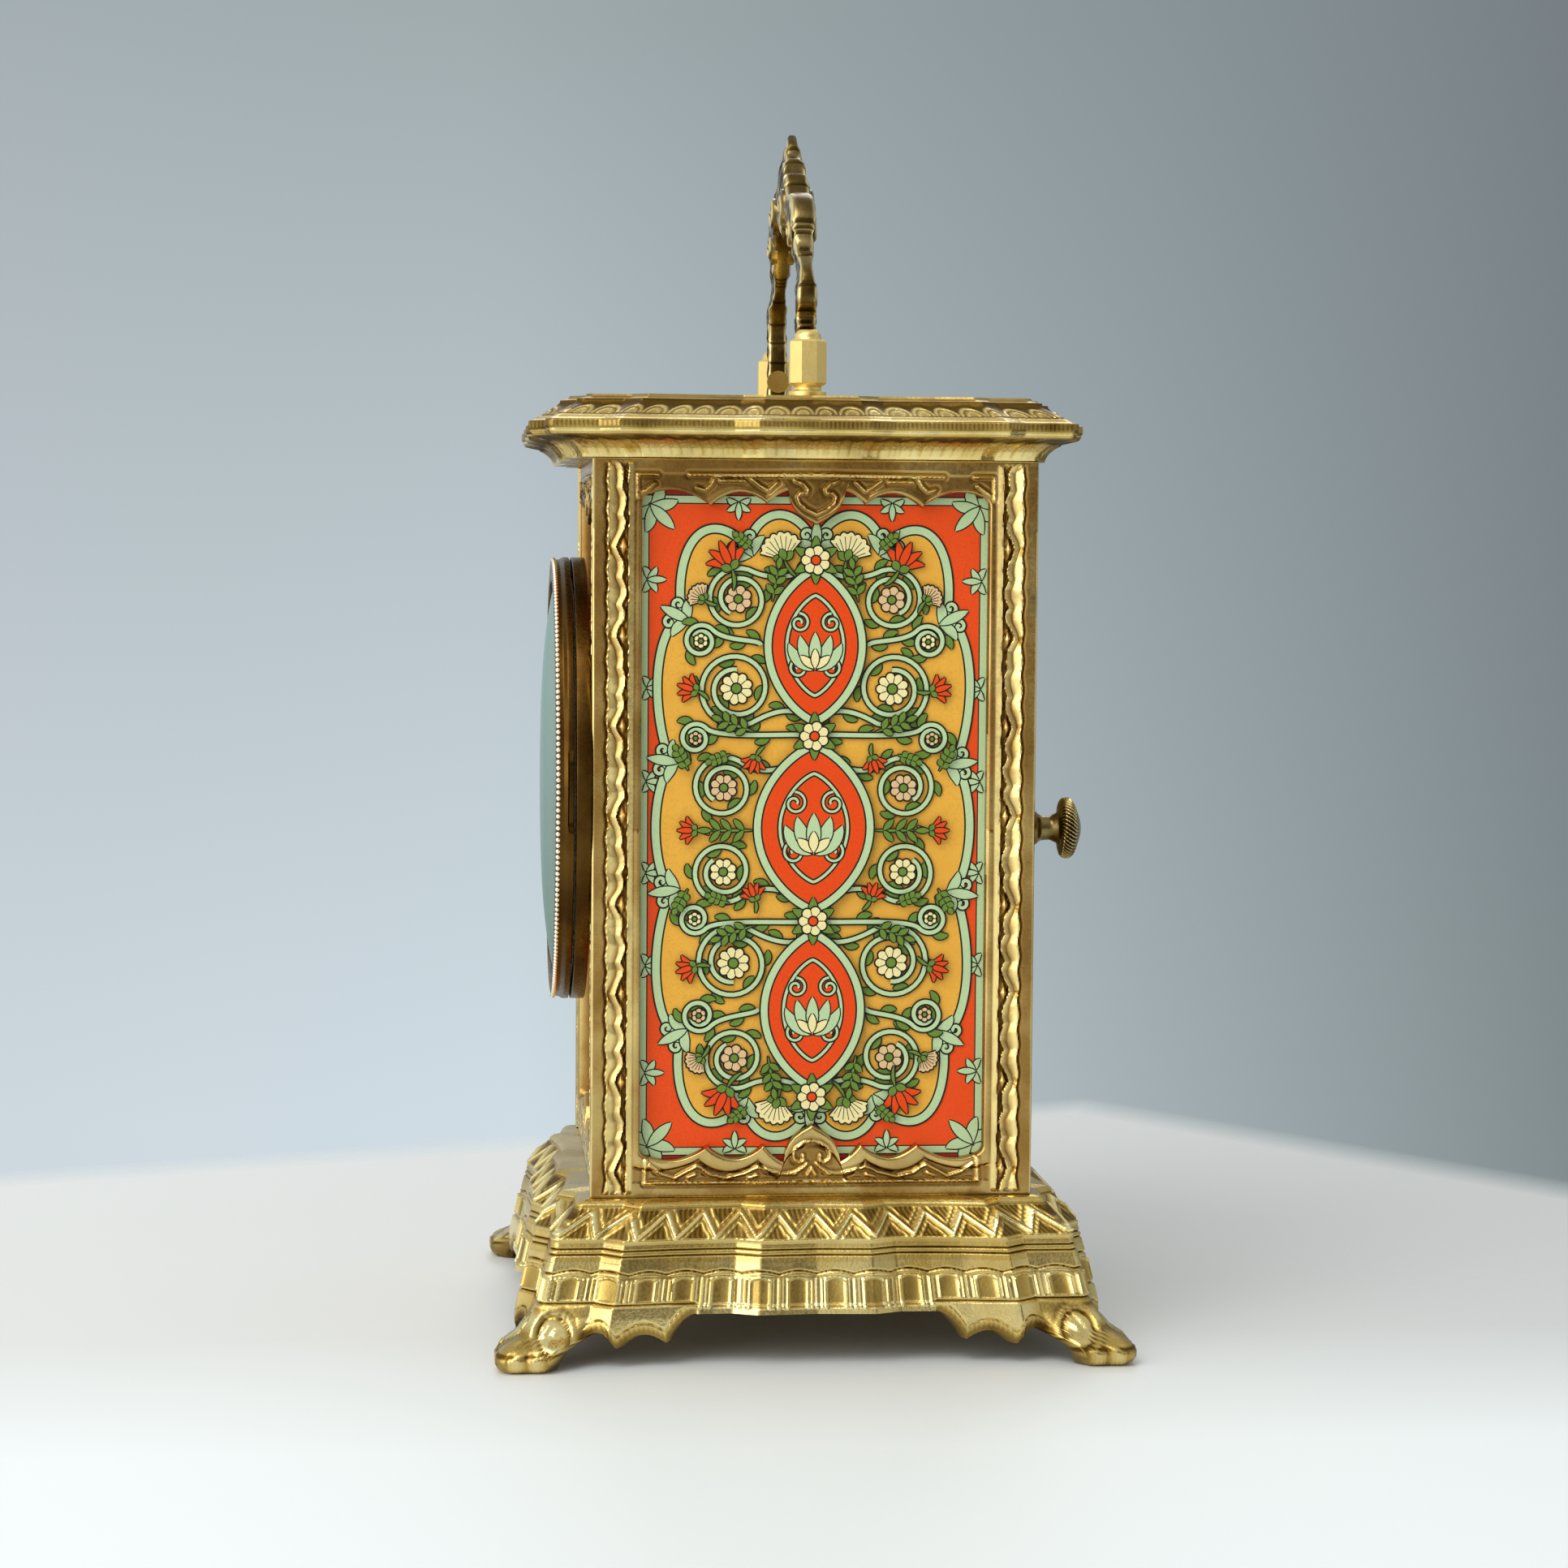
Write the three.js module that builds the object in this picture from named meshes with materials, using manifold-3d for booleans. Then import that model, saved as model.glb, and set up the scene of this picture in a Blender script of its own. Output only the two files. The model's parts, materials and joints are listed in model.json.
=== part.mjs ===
// A carriage clock in cast bronze: serpentine base and lid, four cast frames round printed
// panels, a hinged bezel, a rear door, a folding handle and a wound movement with its train.
// Millimetres, +Z up, the dial faces -Y, and the origin is on the ground under the middle.
import * as THREE from 'three';
import { mergeVertices } from 'three/addons/utils/BufferGeometryUtils.js';
import Module from 'manifold-3d';

const wasm = await Module();
wasm.setup();

const clearance = 0.3; // gap between pieces that move or pass through one another
const overrun = 1; // how far a cutting tool runs past the face that it cuts
const weld = 0.0001; // vertices closer than this are one vertex
const fullTurn = 2 * Math.PI;
const radians = Math.PI / 180;
const quarter = 90; // degrees
const sides = { arbor: 6, screw: 6, small: 10, medium: 16, large: 24, disc: 30, ring: 40 };

// Driving sizes of the body
const caseWidth = 67.2;
const caseDepth = 66;
const caseHeight = 109.5;
const baseHeight = 23.2;
const lidHeight = 9.2;
const lidForward = 1; // the lid sits this far towards the dial
const dialRise = 5.65; // centre of the dial above the middle of the case

const caseTop = baseHeight + caseHeight;
const lidTop = caseTop + lidHeight;
const caseMiddle = baseHeight + caseHeight / 2;
const dialHeight = caseMiddle + dialRise;
const footprint = Math.max(caseWidth, caseDepth) / 2; // half the square that base and lid cover
const frontFace = -caseDepth / 2;
const rearFace = caseDepth / 2;

const finishes = {
  gilt: { color: 0xc9a24a, roughness: 0.34, metalness: 1 },
  bronze: { color: 0xa8843f, roughness: 0.42, metalness: 1 },
  brass: { color: 0xd2b060, roughness: 0.28, metalness: 1 },
  steel: { color: 0x9aa0a6, roughness: 0.3, metalness: 1 },
  print: { color: 0xdd8a3c, roughness: 0.5, metalness: 0 },
  glass: { color: 0x8cc8b4, roughness: 0.05, metalness: 0, transparent: true, opacity: 0.35 },
  enamel: { color: 0xe9dfc4, roughness: 0.45, metalness: 0 },
  blued: { color: 0x2a3350, roughness: 0.3, metalness: 1 },
};

const clock = new THREE.Group();

// Solids: a closed geometry goes in, booleans are made, a plain geometry comes out.

function signedVolume(positions, triangles) {
  const corner = (index) => new THREE.Vector3().fromArray(positions, 3 * index);
  let volume = 0;
  for (let i = 0; i < triangles.length; i += 3) {
    const [a, b, c] = [corner(triangles[i]), corner(triangles[i + 1]), corner(triangles[i + 2])];
    volume += a.dot(b.cross(c)) / 6;
  }
  return volume;
}

function solid(geometry) {
  const bare = geometry.clone();
  bare.deleteAttribute('normal');
  bare.deleteAttribute('uv');
  const merged = mergeVertices(bare, weld);
  const positions = merged.attributes.position.array;
  const source = merged.index.array;
  const triangles = [];
  for (let i = 0; i < source.length; i += 3) {
    const [a, b, c] = [source[i], source[i + 1], source[i + 2]];
    if (a !== b && b !== c && c !== a) triangles.push(a, b, c);
  }
  if (signedVolume(positions, triangles) < 0) triangles.reverse();
  return new wasm.Manifold(new wasm.Mesh({
    numProp: 3,
    vertProperties: Float32Array.from(positions),
    triVerts: Uint32Array.from(triangles),
  }));
}

function geometryOf(body) {
  const mesh = body.getMesh();
  const geometry = new THREE.BufferGeometry();
  geometry.setAttribute('position', new THREE.BufferAttribute(mesh.vertProperties, mesh.numProp));
  geometry.setIndex(new THREE.BufferAttribute(mesh.triVerts, 1));
  return geometry;
}

const join = (...bodies) => bodies.reduce((whole, body) => whole.add(body));
const cut = (body, ...tools) => tools.reduce((rest, tool) => rest.subtract(tool), body);

function piece(name, body, finish, parent = clock) {
  const geometry = geometryOf(body).toNonIndexed();
  geometry.computeVertexNormals();
  const mesh = new THREE.Mesh(geometry, new THREE.MeshStandardMaterial(finishes[finish]));
  mesh.name = name;
  parent.add(mesh);
  return mesh;
}

// Basic forms. A plate is drawn in X and Z and fills from y = 0 to y = -depth.

function shapeOf(points, holes = []) {
  const shape = new THREE.Shape(points.map(([x, y]) => new THREE.Vector2(x, y)));
  shape.holes = holes.map((hole) => new THREE.Path(hole.map(([x, y]) => new THREE.Vector2(x, y))));
  return shape;
}

function plate(points, depth, holes = []) {
  const geometry = new THREE.ExtrudeGeometry(shapeOf(points, holes), { depth, bevelEnabled: false });
  return solid(geometry.rotateX(Math.PI / 2));
}

// A plate between two places along Y, whichever comes first.
function plateBetween(points, y0, y1, holes = []) {
  return plate(points, Math.abs(y1 - y0), holes).translate([0, Math.max(y0, y1), 0]);
}

function block([x0, x1], [y0, y1], [z0, z1]) {
  const geometry = new THREE.BoxGeometry(x1 - x0, y1 - y0, z1 - z0);
  return solid(geometry.translate((x0 + x1) / 2, (y0 + y1) / 2, (z0 + z1) / 2));
}

// A turned piece about the Y axis from a list of [radius, y], closed on the axis or on itself.
function turned(profile, segments) {
  const points = profile.map(([r, y]) => new THREE.Vector2(r, y));
  return solid(new THREE.LatheGeometry(points, segments));
}

const rod = (radius, y0, y1, segments = sides.small) => (
  turned([[0, y0], [radius, y0], [radius, y1], [0, y1]], segments));

function tube(outer, inner, y0, y1, segments) {
  return turned([[inner, y0], [outer, y0], [outer, y1], [inner, y1], [inner, y0]], segments);
}

const upright = (body) => body.rotate([quarter, 0, 0]); // turns the Y axis of a form to +Z
const acrossX = (body) => body.rotate([0, 0, -quarter]); // turns the Y axis of a form to +X

function circle(radius, segments, [x, y] = [0, 0]) {
  return Array.from({ length: segments }, (_, i) => {
    const angle = (fullTurn * i) / segments;
    return [x + radius * Math.cos(angle), y + radius * Math.sin(angle)];
  });
}

const onCircle = (radius, angle) => [radius * Math.cos(angle), radius * Math.sin(angle)];
const rectangle = ([x0, x1], [y0, y1]) => [[x0, y0], [x1, y0], [x1, y1], [x0, y1]];
const mirrored = (points) => points.map(([x, y]) => [-x, y]).reverse();
const polar = (distance, degrees, [x, y] = [0, 0]) => [
  x + distance * Math.cos(degrees * radians),
  y + distance * Math.sin(degrees * radians),
];

// Serpentine outline shared by base and lid. Each row is a place along half a side, as a share
// of the half width, and how far that place stands out, as a share of the bulge.
const sideShares = [
  [0, 0.75],
  [0.21, 1],
  [0.3, 0.3],
  [0.43, 0.38],
  [0.55, 0.55],
  [0.64, 0.78],
  [0.73, 1],
  [0.8, 0],
  [0.88, 0],
  [0.975, 0],
];
const outlineBulge = 2.3;

// All four sides as [x, y], anticlockwise from above and starting at the front left corner.
function serpentine(half) {
  const right = sideShares.map(([along, out]) => [along * half, -half - out * outlineBulge]);
  const front = [...mirrored(right.slice(1)), ...right];
  const outline = [front];
  for (let i = 0; i < 3; i += 1) outline.push(outline[i].map(([x, y]) => [-y, x]));
  return outline.flat();
}

// Skins a stack of rings of equal length, each a list of [x, y, z], and closes both ends.
function loft(rings) {
  const count = rings[0].length;
  const index = [];
  for (let row = 0; row < rings.length - 1; row += 1) {
    for (let i = 0; i < count; i += 1) {
      const [a, b] = [row * count + i, row * count + ((i + 1) % count)];
      index.push(a, b, b + count, a, b + count, a + count);
    }
  }
  const close = (row, flip) => {
    const outline = rings[row].map(([x, y]) => new THREE.Vector2(x, y));
    for (const [a, b, c] of THREE.ShapeUtils.triangulateShape(outline, [])) {
      const corners = flip ? [a, c, b] : [a, b, c];
      index.push(...corners.map((corner) => row * count + corner));
    }
  };
  close(0, true);
  close(rings.length - 1, false);
  const geometry = new THREE.BufferGeometry();
  geometry.setAttribute('position', new THREE.Float32BufferAttribute(rings.flat(2), 3));
  geometry.setIndex(index);
  return solid(geometry);
}

const level = (outline, z) => outline.map(([x, y]) => [x, y, z]);

// Cast frames: one pattern serves the four sides. It is drawn from its lower edge up, its
// outer face at y = -thickness, with cusped rails above and below the window.
const frameThickness = 2.4;
const ribRelief = 0.5;
const ribWidth = 1.3;
const ribInset = 0.8;
const windowCorner = 1.4;
const sideStile = 7.3; // from the window to the edge of the frame
const frontStile = 5.5;
const bottomRail = 6.1;
const topRail = 5.3;
const frontWidth = caseWidth - 2 * frameThickness;

// How far each rail reaches into the window, at the features of its cusped edge.
const topRailReach = { lobe: 0.3, cusp: 1.7, smallCusp: 1.3, notch: -0.6, tip: 4.4 };
const bottomRailReach = { lobe: -0.4, cusp: 1.6, smallCusp: 1.7, notch: -0.9, tip: 4.7 };

// A rail edge from the window's side to its middle: place as a share of half the window, the
// feature that stands there, and the share of its reach.
const railShares = [
  [0.79, 'lobe', 1],
  [0.64, 'cusp', 1],
  [0.55, 'lobe', 1],
  [0.46, 'notch', 0.5],
  [0.3, 'smallCusp', 1],
  [0.17, 'notch', 1],
  [0.13, 'tip', 0.5],
  [0.07, 'tip', 0.8],
  [0, 'tip', 1],
];

function railEdge(reach, half) {
  return railShares.map(([place, feature, share]) => [place * half, reach[feature] * share]);
}

function windowOutline(half, height) {
  const [low, high] = [bottomRail, height - topRail];
  const upperRight = railEdge(topRailReach, half).map(([x, reach]) => [x, high - reach]);
  const lowerRight = railEdge(bottomRailReach, half).map(([x, reach]) => [x, low + reach]).reverse();
  const right = [
    ...lowerRight,
    [half - windowCorner, low],
    [half, low + windowCorner],
    [half, high - windowCorner],
    [half - windowCorner, high],
    ...upperRight,
  ];
  return [...right, ...mirrored(right.slice(1, -1))];
}

function castFrame(width, height, stile, thickness = frameThickness) {
  const half = width / 2;
  const window = half - stile;
  const base = thickness - ribRelief;
  const sheet = plate(rectangle([-half, half], [0, height]), base, [windowOutline(window, height)]);
  const ribDepth = [-thickness, ribRelief - base];
  const ribAt = (x) => block([x, x + ribWidth], ribDepth, [ribInset, height - ribInset]);
  const outerRib = half - ribInset - ribWidth;
  const innerRib = window + ribInset / 2;
  const ribs = [outerRib, innerRib, -outerRib - ribWidth, -innerRib - ribWidth].map(ribAt);
  const rails = [ribInset, height - ribInset - ribWidth].map((z) => (
    block([-window, window], ribDepth, [z, z + ribWidth])));
  return join(sheet, ...ribs, ...rails);
}

// Printed panels lie behind the windows, and thin retaining frames hold them.
const panelThickness = 1;
const panelLap = 1.6; // of a panel behind the stiles
const panelMargin = 1.6; // between a panel and the deck or the lid
const retainerThickness = 0.6;
const retainerBorder = 3.2;
const panelBottom = baseHeight + panelMargin;
const panelTop = caseTop - panelMargin;

const sidePanelHalf = caseDepth / 2 - sideStile + panelLap;
const frontPanelHalf = frontWidth / 2 - frontStile + panelLap;
const panelOutline = (half) => rectangle([-half, half], [panelBottom, panelTop]);
const retainerOpening = (half) => rectangle(
  [retainerBorder - half, half - retainerBorder],
  [panelBottom + retainerBorder, panelTop - retainerBorder],
);

// A side of the case: everything is drawn as the front and turned about the middle.
function sideOfCase(degrees) {
  const group = new THREE.Group();
  group.rotation.z = degrees * radians;
  clock.add(group);
  return group;
}

function fixedSide(name, degrees) {
  const side = sideOfCase(degrees);
  const inner = -caseWidth / 2 + frameThickness;
  const frame = castFrame(caseDepth, caseHeight, sideStile).translate([0, inner, baseHeight]);
  const panel = panelOutline(sidePanelHalf);
  const opening = retainerOpening(sidePanelHalf);
  piece(`${name}_frame`, frame, 'bronze', side);
  const panelBack = inner + panelThickness;
  piece(`${name}_panel`, plateBetween(panel, inner, panelBack), 'print', side);
  const retainer = plateBetween(panel, panelBack, panelBack + retainerThickness, [opening]);
  piece(`${name}_retainer`, retainer, 'brass', side);
}

fixedSide('right', quarter);
fixedSide('left', -quarter);

// Corner posts tie the lid to the base inside the case.
const postSide = 3;
const postX = frontWidth / 2;
const postY = caseDepth / 2 - frameThickness;
const baseDeck = 2.4;
const screwRadius = 0.9;
const screwHead = { radius: 1.7, height: 1.2 };
const screwDepth = 7; // of the screw in its post
const postCentres = [[1, -1], [1, 1], [-1, 1], [-1, -1]].map(([sx, sy]) => [
  sx * (postX - postSide / 2),
  sy * (postY - postSide / 2),
]);

const postSpan = (centre) => [centre - postSide / 2, centre + postSide / 2];

postCentres.forEach(([x, y], i) => {
  const hole = upright(rod(screwRadius + clearance, -overrun, screwDepth + clearance, sides.screw));
  const post = cut(
    block(postSpan(x), postSpan(y), [baseHeight, caseTop]),
    hole.translate([x, y, baseHeight]),
  );
  piece(`corner_post_${i + 1}`, post, 'brass');
  const shank = rod(screwRadius, -baseDeck, screwDepth, sides.screw);
  const head = rod(screwHead.radius, -baseDeck - screwHead.height, -baseDeck, sides.screw);
  piece(`base_screw_${i + 1}`, upright(join(shank, head)).translate([x, y, baseHeight]), 'steel');
});

// Base: a flared shell under a flat deck. Its lower edge runs level in the middle of a side,
// drops in two scallops and ends in a scroll foot at each corner.
const baseWall = 2.2;
const apronHeight = 7.8; // of the straight edge in the middle of a side
const apronOverhang = 8.3; // past the case, at the lowest
const scallops = { first: 3.8, crest: 5, second: 3, arch: 5.3 };

// The corner of the base from the deck down: how far it overhangs the case, and how high it is.
// The bands hang from the deck, and the feet stand on the ground.
const bandOverhang = [
  [1, 0],
  [1.7, -0.9],
  [4.6, -4],
  [5.2, -5.6],
  [6, -8.2],
  [7.3, -14],
];
const footOverhang = [
  [8.1, 7.2],
  [10, 4.8],
  [13.6, 2.6],
  [12, 0],
];
const bandFlare = bandOverhang.map(([out, drop]) => [footprint + out, baseHeight + drop]);
const footFlare = footOverhang.map(([out, z]) => [footprint + out, z]);

// Height of the lower edge above the ground, for each column of half a side.
const lowerEdge = [
  apronHeight,
  apronHeight,
  apronHeight,
  apronHeight,
  scallops.first,
  scallops.crest,
  scallops.second,
  scallops.arch,
  0,
  0,
];

function baseCasting() {
  const oneSide = [...lowerEdge.slice(1).reverse(), ...lowerEdge];
  const edge = [oneSide, oneSide, oneSide, oneSide].flat();
  const [bandReach, bandBottom] = bandFlare[bandFlare.length - 1];
  const bands = bandFlare.map(([half, z]) => level(serpentine(half), z));
  const skirts = footFlare.map(([half, z], row) => {
    const drop = (row + 1) / footFlare.length;
    const foot = serpentine(half);
    const apron = serpentine(bandReach + (footprint + apronOverhang - bandReach) * drop);
    return edge.map((low, column) => (
      low > 0 ? [...apron[column], bandBottom + (low - bandBottom) * drop] : [...foot[column], z]));
  });
  const inward = ([x, y, z]) => {
    const share = 1 - baseWall / Math.max(Math.abs(x), Math.abs(y));
    return [x * share, y * share, z];
  };
  const inside = [
    bands[2].map(([x, y]) => inward([x, y, baseHeight - baseDeck])),
    skirts[skirts.length - 1].map(inward),
  ];
  return loft([...inside, ...skirts.reverse(), ...bands.reverse()]);
}

// Door pivots stand in blind holes of the deck and the lid.
const doorThickness = frameThickness - clearance;
const doorHalf = frontWidth / 2 - clearance;
const doorAxis = [-doorHalf + doorThickness / 2, rearFace - doorThickness / 2];
const doorPin = { radius: 0.5, reach: 1.6, buried: 6 };

const pinBore = (z0, z1) => (
  upright(rod(doorPin.radius + clearance, z0, z1)).translate([...doorAxis, 0]));

const deckBore = upright(rod(screwRadius + clearance, -baseDeck - overrun, overrun, sides.screw));
const screwBore = ([x, y]) => deckBore.translate([x, y, baseHeight]);

piece('base_casting', cut(
  baseCasting(),
  ...postCentres.map(screwBore),
  pinBore(baseHeight - doorPin.reach - clearance, baseHeight + overrun),
), 'gilt');

// Lid: the same outline, a fluted cavetto under a fillet and an ogee up to a flat top.
const lidHollow = { border: 6.2, ceiling: 3.2 };
const lidOverhang = [
  [0.3, 0],
  [1.4, 1.6],
  [5.4, 3.6],
  [5.4, 5.1],
  [4.3, 5.7],
  [1, 7.2],
  [-1.2, lidHeight],
];
const lidFlare = lidOverhang.map(([out, rise]) => [footprint + out, rise]);
const pillarInset = 6; // from the side of the case
const pillarX = caseWidth / 2 - pillarInset;
const studRadius = 1.2;

function lidCasting() {
  const shell = loft(lidFlare.map(([half, rise]) => level(serpentine(half), caseTop + rise)));
  const half = footprint - lidHollow.border;
  const hollow = block([-half, half], [-half, half], [caseTop - overrun, lidTop - lidHollow.ceiling]);
  const studBores = [-pillarX, pillarX].map((x) => (
    upright(rod(studRadius + clearance, caseTop, lidTop + overrun)).translate([x, 0, 0])));
  return cut(shell, hollow, ...studBores).translate([0, -lidForward, 0]);
}

piece('lid_casting', cut(
  lidCasting(),
  pinBore(caseTop - overrun, caseTop + doorPin.reach + clearance),
), 'gilt');

// Handle pillars: octagonal, with a washer and neck below and a button on top.
const pillarFlats = 5.4;
const octagonSides = 8;
const pillar = { washer: 2.8, neck: 2.2, button: 2, crown: 1.4, stud: 4.5 };
const pillarRise = { washer: 0.9, neck: 1.8, octagon: 8.5, top: 10 };
const handlePivot = 4.7; // above the lid

function handlePillar() {
  const corner = pillarFlats / 2 / Math.cos(Math.PI / octagonSides);
  const octagon = rod(corner, pillarRise.neck, pillarRise.octagon, octagonSides)
    .rotate([0, 2 * quarter / octagonSides, 0]);
  const round = turned([
    [0, -pillar.stud],
    [studRadius, -pillar.stud],
    [studRadius, 0],
    [pillar.washer, 0],
    [pillar.washer, pillarRise.washer],
    [pillar.neck, pillarRise.washer],
    [pillar.neck, pillarRise.neck],
    [pillar.button, pillarRise.octagon],
    [pillar.crown, pillarRise.top],
    [0, pillarRise.top],
  ], sides.medium);
  return upright(join(octagon, round));
}

// Shouldered screws carry the handle on the inner faces of the pillars.
const pivotRadius = 1;
const pivotHead = { radius: 1.8, height: 0.9 };
const pivotDepth = 2; // of the screw in its pillar
const armWidth = 2.6;
const armOuter = pillarX - pillarFlats / 2 - clearance;
const armInner = armOuter - armWidth;

[['right', 1], ['left', -1]].forEach(([name, side]) => {
  const tip = armOuter + clearance + pivotDepth;
  const bore = acrossX(rod(pivotRadius + clearance, armOuter, tip + clearance));
  const place = [0, -lidForward, lidTop];
  const turnedPillar = cut(
    handlePillar().translate([side * pillarX, 0, 0]),
    (side > 0 ? bore : bore.mirror([1, 0, 0])).translate([0, 0, handlePivot]),
  );
  piece(`handle_pillar_${name}`, turnedPillar.translate(place), 'brass');
  const headFace = armInner - clearance;
  const screw = acrossX(join(
    rod(pivotRadius, headFace, tip),
    rod(pivotHead.radius, headFace - pivotHead.height, headFace, sides.medium),
  )).translate([0, 0, handlePivot]);
  piece(`handle_screw_${name}`, (side > 0 ? screw : screw.mirror([1, 0, 0])).translate(place), 'brass');
});

// Handle: a lobed bail under a palmette crest, drawn as shares of its half span and its rise.
const handleSpan = armOuter;
const handleRise = 37.1;
const handleDepth = { arm: 3.3, finial: 2, shoulder: 4.4, crest: 5.2 };
const eyeDrop = 2.1;
const crestBoss = { radius: 4, upShare: 0.74 };
const slimShare = 0.9; // above this share of the rise the crest thins out
const bossRadius = { inner: 3, outer: 2.7, lower: 1.9 };
const handleBosses = [
  { acrossShare: 0.3, upShare: 0.71, radius: bossRadius.inner, depth: handleDepth.crest },
  { acrossShare: 0.69, upShare: 0.59, radius: bossRadius.outer, depth: handleDepth.shoulder },
  { acrossShare: 0.98, upShare: 0.33, radius: bossRadius.lower, depth: handleDepth.arm + ribRelief },
];

const handleOuterShares = [
  [1, 0.12],
  [1.06, 0.16],
  [1.02, 0.2],
  [1.09, 0.27],
  [1.07, 0.36],
  [0.97, 0.44],
  [0.86, 0.49],
  [0.82, 0.54],
  [0.84, 0.6],
  [0.76, 0.68],
  [0.62, 0.72],
  [0.46, 0.72],
  [0.38, 0.76],
  [0.3, 0.82],
  [0.2, 0.82],
  [0.19, 0.88],
  [0.11, 0.91],
  [0.07, 0.96],
  [0, 1],
];
const handleInnerShares = [
  [0, 0.56],
  [0.08, 0.6],
  [0.22, 0.63],
  [0.42, 0.61],
  [0.56, 0.55],
  [0.66, 0.45],
  [0.74, 0.38],
  [0.88, 0.3],
  [0.93, 0.2],
  [0.89, 0.12],
];

function bailHandle() {
  const place = ([x, z]) => [x * handleSpan, z * handleRise];
  const half = [
    ...handleInnerShares.map(place),
    [armInner, -eyeDrop],
    [armOuter, -eyeDrop],
    ...handleOuterShares.map(place),
  ];
  const centred = (points, depth) => plateBetween(points, -depth / 2, depth / 2);
  const outline = [...half, ...mirrored(half.slice(1, -1))];
  const slim = block(
    [-handleSpan, handleSpan],
    [handleDepth.finial / 2, handleRise],
    [handleRise * slimShare, handleRise + overrun],
  );
  const bail = cut(centred(outline, handleDepth.arm), slim, slim.mirror([0, 1, 0]));
  const bosses = handleBosses.flatMap(({ acrossShare, upShare, radius, depth }) => (
    [acrossShare, -acrossShare].map((share) => (
      centred(circle(radius, octagonSides, place([share, upShare])), depth)))));
  const crestCentre = place([0, crestBoss.upShare]);
  const crest = centred(circle(crestBoss.radius, sides.medium, crestCentre), handleDepth.crest);
  const eyes = acrossX(rod(pivotRadius + clearance, -handleSpan - overrun, handleSpan + overrun));
  return cut(join(bail, crest, ...bosses), eyes);
}

piece('handle', bailHandle().translate([0, -lidForward, lidTop + handlePivot]), 'gilt');

// Front: the frame, its panel with a round hole, and the bezel assembly about the dial's centre.
const ringRadius = 34.4;
const seatDepth = 2.2; // of the fixed ring, in front of the frame
const bezelDepth = 2.7; // of the hinged ring, in front of the seam
const seatBore = 21;
const spigot = { outer: 24.6, inner: 23.4, reach: 5.6 };
const clampThickness = 1.8;
const clampWidth = 2.4;

const front = sideOfCase(0);
const frontInner = frontFace + frameThickness;
piece(
  'front_frame',
  castFrame(frontWidth, caseHeight, frontStile).translate([0, frontInner, baseHeight]),
  'bronze',
  front,
);
const spigotHole = circle(spigot.outer + clearance, sides.disc, [0, dialHeight]);
const frontPanelBack = frontInner + panelThickness;
const frontPanel = plateBetween(panelOutline(frontPanelHalf), frontInner, frontPanelBack, [spigotHole]);
piece('front_panel', frontPanel, 'print', front);

// Everything on the dial's centre line is drawn about the Y axis and lifted to its height.
const dialGroup = new THREE.Group();
dialGroup.position.z = dialHeight;
clock.add(dialGroup);

const clampRadius = spigot.outer + clampWidth;
piece('clamp_ring', tube(
  clampRadius,
  spigot.outer + clearance,
  frontPanelBack,
  frontPanelBack + clampThickness,
  sides.disc,
), 'brass', dialGroup);

// Bezel hinge at nine o'clock: one knuckle on the fixed ring, two on the hinged one.
const seam = frontFace - seatDepth;
const bezelBack = seam - clearance;
const bezelFront = bezelBack - bezelDepth;
const hinge = { pin: 0.6, knuckle: 1.5, middle: 1.6, outer: 4.6, leaf: 1.1 };
const hingeX = -ringRadius - hinge.knuckle - clearance;
const hingeY = seam - clearance / 2;

function knuckle(z0, z1, leafY) {
  const barrelForm = upright(rod(hinge.knuckle, z0, z1, sides.medium)).translate([hingeX, hingeY, 0]);
  const leaf = block([hingeX, -ringRadius + hinge.leaf], leafY, [z0, z1]);
  return join(barrelForm, leaf);
}

const hingeBore = upright(rod(hinge.pin + clearance, -hinge.outer - overrun, hinge.outer + overrun))
  .translate([hingeX, hingeY, 0]);
const middleKnuckle = knuckle(-hinge.middle, hinge.middle, [seam, seam + hinge.leaf]);
const knuckleGap = hinge.middle + clearance;
const outerLeaf = [bezelBack - hinge.leaf, bezelBack];
const outerKnuckles = [
  knuckle(knuckleGap, hinge.outer, outerLeaf),
  knuckle(-hinge.outer, -knuckleGap, outerLeaf),
];

const seatRing = turned([
  [seatBore, seam],
  [ringRadius, seam],
  [ringRadius, frontFace],
  [spigot.outer, frontFace],
  [spigot.outer, frontFace + spigot.reach],
  [spigot.inner, frontFace + spigot.reach],
  [spigot.inner, frontFace],
  [seatBore, frontFace],
  [seatBore, seam],
], sides.ring);
piece('bezel_seat', cut(join(seatRing, middleKnuckle), hingeBore), 'gilt', dialGroup);

const glassRim = { radius: 31.9, thickness: 0.7 };
const lip = { bore: 30.8, thickness: 0.6 };
const bezelBore = glassRim.radius + clearance;
const rimChamfer = 0.5;
const nailNotch = { span: 12, reach: 0.8 };
const lipBack = bezelFront + lip.thickness;

const bezelForm = turned([
  [bezelBore, bezelBack],
  [ringRadius, bezelBack],
  [ringRadius, bezelFront + rimChamfer],
  [ringRadius - rimChamfer, bezelFront],
  [lip.bore, bezelFront],
  [lip.bore, lipBack],
  [bezelBore, lipBack],
  [bezelBore, bezelBack],
], sides.ring);
const notchCut = block(
  [ringRadius - nailNotch.reach, ringRadius + overrun],
  [bezelBack - nailNotch.reach, bezelBack + overrun],
  [-nailNotch.span / 2, nailNotch.span / 2],
);
piece('bezel_ring', cut(join(bezelForm, ...outerKnuckles), hingeBore, notchCut), 'gilt', dialGroup);
piece(
  'bezel_pin',
  upright(rod(hinge.pin, -hinge.outer, hinge.outer)).translate([hingeX, hingeY, 0]),
  'steel',
  dialGroup,
);

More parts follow.
